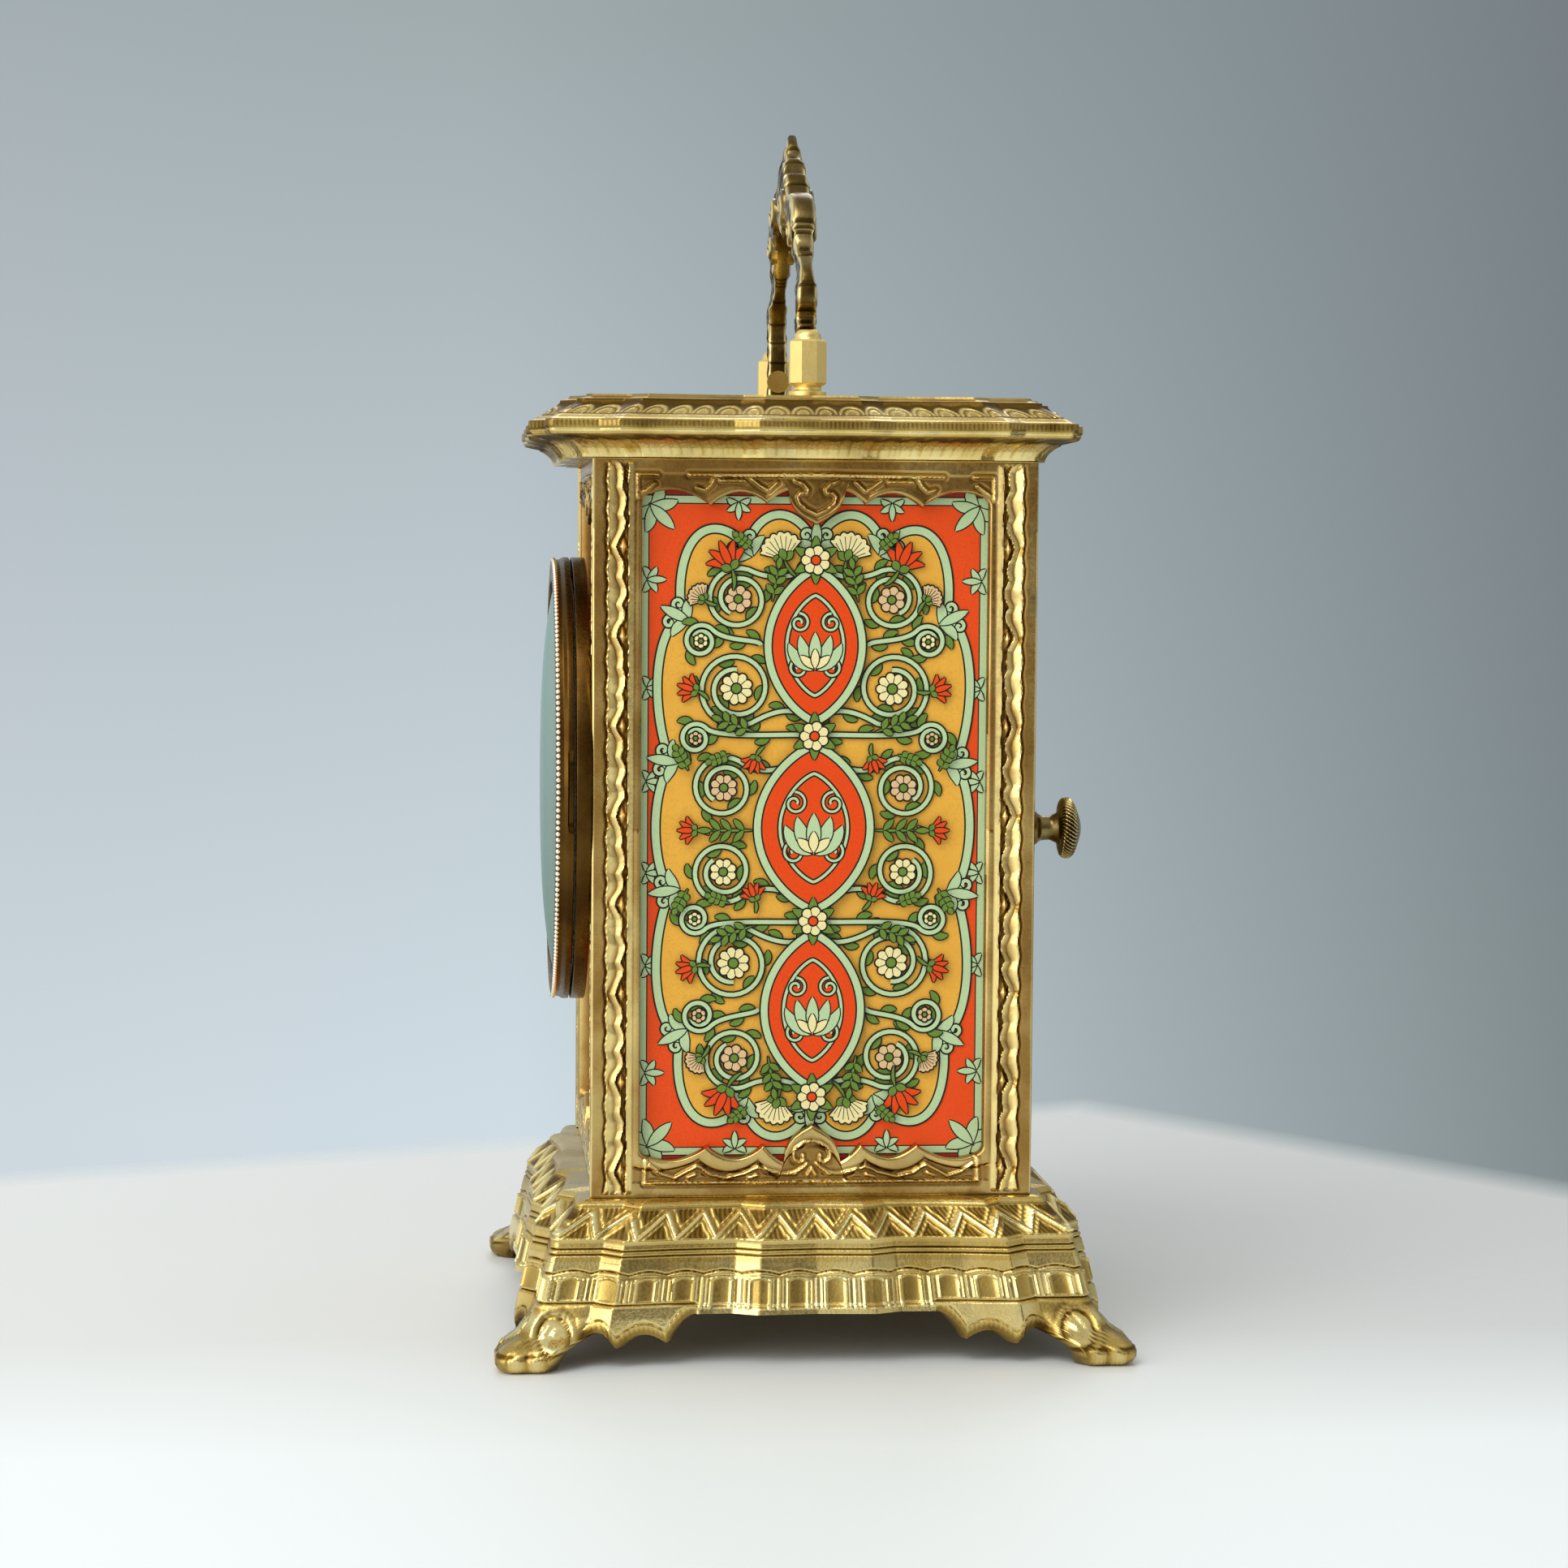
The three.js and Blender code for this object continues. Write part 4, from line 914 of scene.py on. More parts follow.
        upper = np.linspace(self.joint, self.fold, 40)[:, None] + 0 * share
        lower = self.fold + (self.edge(share) - self.fold) * np.linspace(0, 1, 22)[1:, None]
        z = np.concatenate([upper, lower])
        grow = step(0.7, 0.84, np.abs(share))
        reach = (1 - grow) * np.interp(z, *np.array(self.apron).T)
        reach = reach + grow * np.interp(z, *np.array(self.foot).T)
        relief = self.skirt_relief(t, z, share, reach)
        rows = [60, 50, 40, 20, 0]  # of the carved side, which the plain side follows back up
        inner = self.outline.rings(reach[rows] - self.wall, z[rows])
        tone = 0.58 + (0.1 - 0.24 * grow) * (1 - step(8.8, 9.6, z)) + np.clip(relief / 0.8, -0.4, 0.24)
        skirt = casting(self.outline.rings(reach + relief, z), inner, tone, 0.3)
        return [
            Piece(name, [patch], [Finish.GILT], Body.CASE, Slot.GILT, ("base_casting",), sharp=70)
            for name, patch in (("base_band", band), ("base_skirt", skirt))
        ]


@dataclass
class Lid:
    """The lid: a fluted cavetto, a faceted fillet, an ogee with small arches and a flat top."""

    outline: Serpentine = Serpentine()
    bottom: float = 132.7
    nominal: float = 38.0
    moulding: tuple = (
        (33.9, 0), (34.0, 0.5), (34.4, 1.2), (35.2, 1.95), (36.5, 2.65), (37.9, 3.0), (38.5, 3.15),
        (38.7, 3.6), (38.7, 4.0), (39.0, 4.1), (39.0, 5.3), (38.7, 5.4), (38.0, 5.65), (37.5, 6.1),
        (37.0, 6.2), (36.4, 6.6), (35.4, 7.3), (34.8, 7.7), (34.5, 8.2), (34.3, 8.5), (33.5, 8.6),
        (33.0, 8.8), (32.8, 9.2),
    )
    tones: tuple = (  # height above the bottom, and tone there, partly painted light and shade
        (0, 0.64), (2.2, 0.58), (2.5, 0.3), (3.0, 0.28), (3.3, 0.5), (4.0, 0.4), (4.1, 0.3),
        (5.3, 0.3), (5.5, 0.5), (6.1, 0.4), (6.3, 0.24), (8.4, 0.24), (8.6, 0.36), (9.2, 0.36),
    )
    arch_ridges: tuple = ((0.06, 0.16, 0.2), (0.3, 0.14, -0.12), (0.56, 0.12, 0.1))
    lines: tuple = ((3.75, 0.3, 0.16), (5.75, 0.3, 0.12), (6.15, 0.14, -0.14))
    closing: tuple = (  # half width, height and share of the bulge of the top and of the hollow below
        (28.0, 9.2, 0.9), (0, 9.2, 0), (0, 6.0, 0), (27.4, 6.0, 0), (27.4, 0, 0), (31.4, 0, 0.4)
    )

    def relief(self, t: Array, z: Array) -> Array:
        """Faint flutes under scallops in the cavetto, and arches on the ogee, each a low dome.

        Args:
            t: place along the side.
            z: height above the lid's lower edge.

        Returns:
            How far each point stands out.
        """
        flutes = -0.07 * crest(beat(t, 1.7), 0.3) - 0.05 * crest(beat(t, 3.9), 0.5)
        scallops = -0.26 * crest(z - 2.45 - 0.4 * np.abs(np.sin(math.pi * t / 3.4)), 0.26)
        place = beat(t + 0.222 * np.sin(t * 0.7), 3.7)
        arch = 1 - np.hypot(place / 1.7, (z - 6.3) / 1.2)
        arches = 0.24 * np.minimum(np.maximum(arch, -0.5) * 1.6, 0.45)
        arches = arches + ridges(arch, *self.arch_ridges)
        fillet = 0.03 * np.cos(TURN * t / 0.62) * within(z, (4.15, 4.3), (5.1, 5.25))
        lines = fillet + ridges(z, *self.lines)
        cavetto, ogee = within(z, (0.3, 0.6), (2.9, 3.1)), within(z, (6.15, 6.3), (8.3, 8.5))
        return cavetto * (flutes + scallops) + ogee * arches + lines

    def pieces(self) -> list[Piece]:
        """The lid as one closed casting, hollow below.

        Returns:
            The one piece.
        """
        t = self.outline.share() * self.nominal
        reach, z = np.hsplit(resampled(eased(self.moulding, 0.2, 2), 84), 2)
        relief = self.relief(t, z)
        outer = self.outline.rings(reach + relief, z)
        inner = self.outline.rings(*np.hsplit(np.array(self.closing), 3))
        # Tone by height partly paints light and shade on the zones; ridges are drawn brighter.
        rubbed_and_lit = np.interp(z, *np.array(self.tones).T) + relief / 0.5
        lid = casting(outer, inner, rubbed_and_lit, 0.45)
        lid.points += [0, LID_Y, self.bottom]
        return [Piece("lid", [lid], [Finish.GILT], Body.CASE, Slot.GILT, ("lid_casting",), sharp=60)]


# Frames and panels


@dataclass
class CastFrame:
    """A cast frame round a window: vine in the stiles, cusped and engraved rails.

    The grid runs round the window, and its rows go from the window's edge to the outer edge. The
    height of each point above the back is worked out from its place on the frame.
    """

    name: str
    node: str  # that it stands for
    side: Side
    body: Body
    width: float
    bottom: float  # height of its lower edge above the ground
    height: float
    inner: float  # distance of its back from the middle of the case
    thickness: float = 2.4
    edge_round: float = 0.35
    low_rail: float = 6.1  # from the lower edge to the window
    top_rail: float = 5.3  # from the window to the upper edge
    window: float = 25.7  # half its width
    corner: float = 1.4  # radius of its corners
    rail_columns: int = 380
    stile_columns: int = 420
    rows: int = 48
    period: float = 13.2  # of the ribbon in the stiles
    ribbon: tuple = (  # share of the period, and the inner rim's distance from the window
        (0, 3.75), (0.08, 3.45), (0.2, 2.6), (0.28, 2.5), (0.36, 2.95), (0.46, 2.4), (0.55, 2.35),
        (0.66, 2.95), (0.75, 2.7), (0.85, 2.8), (0.93, 3.35), (1, 3.75),
    )
    ribbon_fall: float = 0.95  # from the ribbon's inner rim to its valley
    ribbon_rim: float = 4.95  # distance of its outer rim from the window
    drawn_rail: float = 6.1  # height of the low rail that its strokes are drawn for
    low_strokes: tuple = (
        ((0, 2.3), (24.8, 2.3)), ((24.9, 2.3), (24.8, 5.6)),
        ((2.4, 3.5), (4.4, 3.5), (6.0, 3.9), (8.0, 4.5), (9.0, 4.1), (10.0, 3.6), (12.8, 2.95),
         (15.2, 3.5), (16.6, 4.5), (17.2, 4.7), (18.8, 3.9), (20.4, 3.0), (22.4, 3.6), (24.2, 4.9)),
        ((8.2, 3.3), (9.4, 3.0)), ((17.4, 3.5), (18.4, 3.1)),
        ((0, 8.3), (1.2, 8.15), (2.3, 7.4), (2.8, 6.4), (2.6, 5.6), (1.8, 5.15), (1.2, 5.5), (1.3, 6.2)),
        ((0.7, 5.0), (1.3, 4.4), (2.4, 3.7), (3.6, 3.5)), ((0, 4.3), (0.6, 3.3)),
    )
    top_strokes: tuple = (
        ((0, 2.3), (18.8, 2.5)), ((0, 2.5), (15, 2.65)),
        ((26.4, 2.5), (26.4, 5.8)), ((23.4, 2.5), (26.4, 2.5)), ((25.6, 5.0), (23.9, 3.8)),
        ((15.2, 3.1), (15.6, 3.9), (16.5, 4.7), (17.6, 4.4)),
        ((9.6, 3.1), (8.4, 4.0), (7.2, 4.7), (5.9, 3.5)), ((14.2, 3.3), (10.7, 3.3)),
        ((0, 8.1), (1.5, 7.4), (2.6, 6.5), (2.9, 5.6), (2.4, 5.0), (1.5, 5.0), (1.25, 4.5), (2.0, 3.7),
         (3.2, 3.2)),
    )
    heart: tuple = (  # place along the rail, and reach as a share of the heart's tip
        (0, 1), (0.03, 0.9), (0.07, 0.78), (0.11, 0.62), (0.14, 0.42), (0.16, 0.2)
    )
    heart_end: float = 0.176

    def cusps(self, share: Array, cusp: float, small: float, notch: float, tip: float) -> Array:
        """How far a rail reaches into the window.

        Arches stand between cusps, each a straight run less a half sine, with a heart in the middle.

        Args:
            share: place along the rail, from -1 to 1.
            cusp: reach of the large cusp.
            small: reach of the cusp next to the heart.
            notch: reach beside the heart.
            tip: reach of the heart.

        Returns:
            The reach of each place.
        """
        s = np.abs(share)
        places, shares = np.array(self.heart).T
        heart_at = [*places, 0.17, self.heart_end]
        heart = np.interp(s, heart_at, [*shares * tip, notch * 0.4, notch])
        reach = np.where(s < self.heart_end, heart, 0)
        for low, high, first, last, rise in (
            (self.heart_end, 0.3, notch, small, 0.35),
            (0.3, 0.64, small, cusp, 1.5 - notch / 2),
            (0.64, 1.001, cusp, 0, cusp * 0.75),
        ):
            part = np.clip((s - low) / (high - low), 0, 1)
            arch = first + (last - first) * part - rise * np.sin(math.pi * part) ** 0.8
            reach = np.where((s >= low) & (s < high), arch, reach)
        return reach

    def loops(self) -> tuple[Array, Array]:
        """The window's edge and the outer edge, point for point, anticlockwise from bottom left.

        Returns:
            Both loops, as places across and up.
        """
        half, high = self.width / 2, self.height - self.top_rail
        run = np.linspace(-1, 1, self.rail_columns)
        across = run * (self.window - self.corner)
        low_edge = self.low_rail + self.cusps(run, 1.6, 1.7, -0.9, 4.7)
        top_edge = high - self.cusps(run, 1.7, 1.3, -0.6, 4.4)
        low = np.stack([across, low_edge, run * half, 0 * run], 1)
        top = np.stack([-across, top_edge, -run * half, 0 * run + self.height], 1)
        bend = unit(np.linspace(-math.pi / 2, 0, 8)[1:-1]) * self.corner
        bend = bend + [self.window - self.corner, self.low_rail + self.corner]
        corner = np.concatenate([bend, np.tile([half, 0], (len(bend), 1))], 1)
        upper = corner[::-1] * [1, -1, 1, 1] + [0, high + self.low_rail, 0, self.height]
        stile = np.linspace(self.low_rail + self.corner, high - self.corner, self.stile_columns)
        level = np.linspace(0, self.height, self.stile_columns)
        middle = np.stack([0 * stile + self.window, stile, 0 * stile + half, level], 1)
        right = np.concatenate([corner, middle, upper])
        loop = np.concatenate([low, right, top, right[::-1] * [-1, 1, -1, 1]])
        return loop[:, :2], loop[:, 2:]

    def stiles(self, x: Array, z: Array) -> tuple[Array, Array]:
        """The stiles: a fillet that rises outwards, lozenges and a hollow wavy ribbon.

        The ribbon's inner rim swings with the height. From it the ribbon falls to a valley, rises to
        its outer rim and drops to the outer land. A lozenge stands where the rim swings far out.

        Args:
            x: place across.
            z: height above the frame's lower edge.

        Returns:
            The relief, and how much brighter or darker than its height the metal is drawn: painted
            highlights on the ribbon and the fillet, painted shadow in the groove and along the ribbon's
            inner rim.
        """
        across = np.abs(x) - self.window
        part = ((z - 4.0) / self.period) % 1
        hand = 0.06 * np.sin(z * 1.7 + x) + 0.05 * np.sin(z * 0.61)
        rim_in = np.interp(part, *np.array(self.ribbon).T) + hand
        valley, rim_out = rim_in + self.ribbon_fall, self.ribbon_rim + 0.12 * np.sin(TURN * part * 3)
        down = 0.12 - 0.42 * np.clip((across - rim_in) / self.ribbon_fall, 0, 1)
        up = 0.6 * np.clip((across - valley) / (rim_out - valley), 0, 1)
        before_land = 1 - step(rim_out, rim_out + 0.25, across)
        on_fillet = 1 - step(2.0 + hand, 2.2 + hand, across)
        fillet = (0.26 + 0.3 * np.clip((across - 1.1) / 0.95, 0, 1)) * on_fillet - 0.26
        gem_at = np.minimum(part, 1 - part) * self.period
        gem = 0.62 * np.maximum(1 - np.abs(across - 2.8) / 0.75 - gem_at / 1.8, 0)
        inside = step(rim_in - 0.16, rim_in, across)
        groove = crest(across - rim_out - 0.32, 0.28)
        # Painted light: the ribbon and the fillet drawn brighter as highlights, the groove and the
        # ribbon's inner rim drawn darker as shadow lines.
        stile_painted_light = 0.24 * inside * before_land + 0.22 * on_fillet * step(1.1, 1.3, across)
        stile_painted_light = stile_painted_light - 0.4 * (groove + crest(across - rim_in + 0.3, 0.3))
        ribbon = inside * (down + up) * before_land
        return (1 - inside) * (fillet + gem) + ribbon - 0.16 * groove, stile_painted_light

    def rails(self, x: Array, z: Array, from_window: Array) -> Array:
        """Relief of the rails: engraved strokes, a step below the line, and a band along the rim.

        Args:
            x: place across.
            z: height above the frame's lower edge.
            from_window: distance from the window's edge.

        Returns:
            The relief.
        """
        wide, low = np.abs(x), z < self.height / 2
        from_edge = np.where(low, z - (self.low_rail - self.drawn_rail), self.height - z)
        drawings = (self.low_strokes, self.top_strokes)
        drawn = np.where(low, *(from_lines(wide, from_edge, lines) for lines in drawings))
        strokes = 0.34 * bump(drawn, 0.2) - 0.12 * bump(drawn - 0.5, 0.2)
        rim = np.where(low, 1.5, 0.7)
        band = np.where(low, 0.2, 0.1) * dome(from_window / rim - 0.6)
        crease = -0.2 * bump(from_window - 1.65 * rim, 0.16) * low
        return strokes - 0.1 * step(2.2, 2.5, from_edge) + band + crease

    def piece(self) -> Piece:
        """The frame as one closed ring of a casting.

        Returns:
            The piece.
        """
        inner, outer = self.loops()
        share = np.linspace(0, 1, self.rows)[:, None]
        flat = inner * (1 - share[..., None]) + outer * share[..., None]
        span = np.linalg.norm(outer - inner, axis=1)
        from_window, from_edge = share * span, (1 - share) * span
        x, z = flat[..., 0], flat[..., 1]
        height, stile_painted_light = self.stiles(x, z)
        in_stile = step(self.window + 0.3, self.window + 0.6, np.abs(x))
        in_stile = in_stile * step(0.5, 1.1, z) * step(0.5, 1.1, self.height - z)
        in_rail = 1 - step(self.window + 0.6, self.window + 1.2, np.abs(x))
        relief = in_stile * height + in_rail * self.rails(x, z, from_window)
        edge = np.maximum(self.edge_round - from_edge, 0)
        drop = self.edge_round - np.sqrt(np.maximum(self.edge_round**2 - edge**2, 0))
        level = self.thickness - 0.36 + relief - drop - 0.25 * bump(from_window, 0.2)
        front = np.stack([x, -self.inner - np.minimum(level, self.thickness + 0.02), z], -1)
        inset = outer * (1 - self.edge_round / np.abs(outer).max(0)) + [0, self.edge_round / 2]
        behind = -self.inner - min(self.edge_round, self.thickness / 2)
        back = ((outer, behind), (inset, -self.inner), (inner, -self.inner))
        back = np.stack([np.insert(line, 1, y, axis=1) for line, y in back])
        # Tone: ridges rubbed brighter, plus the stiles' painted light, plus the outer edge drawn
        # brighter, partly as rubbing and partly as a painted highlight.
        rubbed_and_lit = 0.5 + relief / 1.1 + in_stile * stile_painted_light + 0.35 * (1 - step(0.1, 0.5, from_edge))
        # Back rows: the outer wall drawn bright, partly as rubbing and partly as a painted highlight,
        # then the plain back.
        tone = np.concatenate([rubbed_and_lit, np.repeat([[0.85], [0.5], [0.4]], len(inner), 1)])
        points = np.concatenate([front, back]) + [0, 0, self.bottom]
        patch = Patch(points, around=True, along=True, tone=tone).moved(turn_to(self.side))
        return Piece(
            self.name, [patch], [Finish.BRONZE], self.body, Slot.BRONZE, (self.node,), sharp=50
        )


@dataclass
class Sheet:
    """A printed sheet: strokes and filled shapes of ink, each over its own dark outline.

    A shape is drawn across and up, in millimetres from the middle of the sheet. Each new shape
    lies a hair in front of all the ones before it.
    """

    distance: float  # of its face from the middle of the case
    middle: float  # height above the ground
    side: Side
    gap: float = 0.004  # between the face and the first shape
    hair: float = 0.0006
    line: float = 0.25  # width of the outlines
    patches: list[Patch] = field(default_factory=list)

    def lay(self, points: Array, ink: Ink, around: bool = False) -> None:
        """Puts a grid of points in front of the sheet in an ink.

        Args:
            points: across and up, as rows and columns.
            ink: its colour.
            around: whether the columns close on themselves.
        """
        front = self.distance + self.gap + self.hair * (len(self.patches) + 1)
        flat = np.insert(points + [0, self.middle], 1, -front, axis=-1)
        patch = Patch(flat, around, finish=list(Ink).index(ink))
        self.patches.append(patch.moved(turn_to(self.side)))

    def rule(self, path: Array, half: Array | float, ink: Ink, closed: bool = False) -> None:
        """A band without an outline: each point of the path is moved square to it both ways.

        Args:
            path: its middle line.
            half: half its width, or one value for each point.
            ink: its colour.
            closed: whether the path closes on itself.
        """
        ends = np.roll(path, -1, 0) - np.roll(path, 1, 0) if closed else np.gradient(path, axis=0)
        normal = np.stack([-ends[:, 1], ends[:, 0]], 1)
        normal /= np.maximum(np.linalg.norm(normal, axis=1, keepdims=True), TINY)
        wide = normal * np.broadcast_to(half, len(path))[:, None]
        self.lay(np.stack([path - wide, path + wide]), ink, closed)

    def strokes(self, paths: list[Array], half: float, ink: Ink, closed: bool = False) -> None:
        """Bands of ink along paths that run into one another: all outlines first, then the ink.

        Args:
            paths: their middle lines.
            half: half their width.
            ink: their colour.
            closed: whether the paths close on themselves.
        """
        for reach, shown in ((half + self.line, Ink.LINE), (half, ink)):
            for path in paths:
                self.rule(path, reach, shown, closed)

    def fill(self, outline: Array, ink: Ink, centre: tuple | Array) -> None:
        """A filled shape: a fan from its centre to its outline, over a dark edge."""
        self.rule(outline, self.line, Ink.LINE, True)
        self.lay(np.stack([outline, np.broadcast_to(centre, outline.shape)]), ink, True)

    def leaf(
        self, root: Array, degrees: float, length: float, width: float, ink: Ink, bend: float = 0
    ) -> None:
        """A leaf: a band whose width follows a sine, along a line that bends as it goes.

        Args:
            root: where it starts.
            degrees: its heading.
            length: of the leaf.
            width: of the leaf.
            ink: its colour.
            bend: how many degrees its heading turns.
        """
        part = np.linspace(0, 1, 9)
        path = np.asarray(root) + length * part[:, None] * unit(np.radians(degrees + bend * part))
        half = width / 2 * np.sin(math.pi * part) ** 0.8
        self.rule(path, half + self.line * 0.8, Ink.LINE)
        self.rule(path, half, ink)

    def spray(
        self, root: Array, degrees: float, swings: dict | tuple, length: float, width: float, ink: Ink,
        curl: float = 0,
    ) -> None:
        """Leaves from one root.

        Args:
            root: where they all start.
            degrees: heading of the spray.
            swings: each leaf's turn from it, and its share of the length where they differ.
            length: of a leaf.
            width: of a leaf.
            ink: of all the leaves.
            curl: how far a leaf bends, as a share of its swing.
        """
        shares = swings if isinstance(swings, dict) else dict.fromkeys(swings, 1)
        for swing, share in shares.items():
            self.leaf(root, degrees + swing, length * share, width, ink, swing * curl)

    def rosette(self, centre: Array, radius: float, petals: int, ink: Ink, eye: Ink) -> None:
        """A round flower: the radius swings with the petals, and an eye sits in the middle.

        Args:
            centre: of the flower.
            radius: to the tips of its petals.
            petals: how many.
            ink: of the petals.
            eye: ink of the eye.
        """
        angle = circle(12 * petals)
        ring = unit(angle)
        reach = radius * (0.72 + 0.28 * np.abs(np.sin(petals / 2 * angle)) ** 0.6)
        self.fill(ring * reach[:, None] + centre, ink, centre)
        for way in ring[::12]:
            self.rule(centre + way * np.linspace(0.3, 0.74, 3)[:, None] * radius, 0.07, Ink.LINE)
        self.fill(ring[::4] * radius * 0.28 + centre, eye, centre)

    def shell(self, root: Array, degrees: float, size: float) -> None:
        """A fan flower with a toothed rim and rays, in a green cup. Small ones are blush.

        Args:
            root: where it starts.
            degrees: its heading.
            size: how far it reaches.
        """
        part = np.linspace(-1, 1, 33)
        rim = size * (0.9 + 0.1 * np.abs(np.sin(part * math.pi * 3.5))) * (1 - 0.12 * part**2)
        fan = root + rim[:, None] * unit(np.radians(degrees + 58 * part))
        ink = Ink.CREAM if size > 3 else Ink.BLUSH
        self.fill(np.concatenate([fan, [root]]), ink, root + (fan[16] - root) * 0.4)
        for point in fan[2:-1:4]:
            self.rule(root + (point - root) * np.linspace(0.3, 0.86, 3)[:, None], 0.06, Ink.LINE)
        self.spray(root, degrees, (-62, 62, 0), size * 0.42, size * 0.26, Ink.OLIVE)
        self.leaf(root, degrees + 180, size * 0.8, 0.4, Ink.OLIVE, 20)

    def lily(self, root: Array, degrees: float, size: float) -> None:
        """A flower of long pointed petals that bend outwards, in a green cup.

        Args:
            root: where it starts.
            degrees: its heading.
            size: how far it reaches.
        """
        petals = {-28: 0.86, 28: 0.86, -14: 0.95, 14: 0.95, 0: 1}
        self.leaf(root, degrees + 180, size * 0.7, 0.45, Ink.OLIVE, -20)
        self.spray(root, degrees, petals, size, size * 0.24, Ink.ORANGE, 1)
        self.spray(root, degrees, (-55, 55), size * 0.36, size * 0.24, Ink.OLIVE)

    def sprig(self, root: Array, degrees: float, size: float) -> None:
        """A stem with pairs of leaves and one at its tip.

        Args:
            root: where it starts.
            degrees: its heading.
            size: how far it reaches.
        """
        stem = size * unit(math.radians(degrees))
        self.leaf(root, degrees, size, 0.36, Ink.OLIVE)
        for share in (0.25, 0.55, 0.8):
            self.spray(root + stem * share, degrees, (-48, 48), size * 0.36, 0.85, Ink.OLIVE)
        self.leaf(root + stem, degrees, size * 0.34, 0.8, Ink.OLIVE)

    def piece(self, name: str, body: Body) -> Piece:
        """The printed sheet as a piece."""
        return Piece(name, self.patches, list(Ink), body, Slot.PRINT, closed=False)


@dataclass(frozen=True)
class Coil:
    """A vine that leaves its root, winds into a spiral and flowers at the eye."""

    root: tuple
    lift: float
    centre: tuple
    radius: float
    start: float
    turns: float
    petals: int
    ink: Ink

    def path(self) -> Array:
        """A stem from its root that runs smoothly into a spiral, along one cubic curve.

        Returns:
            Its points, from the root to the eye.
        """
        wound = spiral(self.centre, self.radius, self.start, self.turns, 0.5)
        way = wound[0] - wound[1]
        way /= np.linalg.norm(way)
        t = np.linspace(0, 1, 18, endpoint=False)[:, None]
        a, d = np.array(self.root, float), wound[0]
        b, c = a + [0, self.lift], d + way * self.radius * 1.1
        stem = (1 - t) ** 3 * a + 3 * t * (1 - t) ** 2 * b + 3 * t**2 * (1 - t) * c + t**3 * d
        return np.concatenate([stem, wound])


SHELL, LILY, SPRIG = Flower


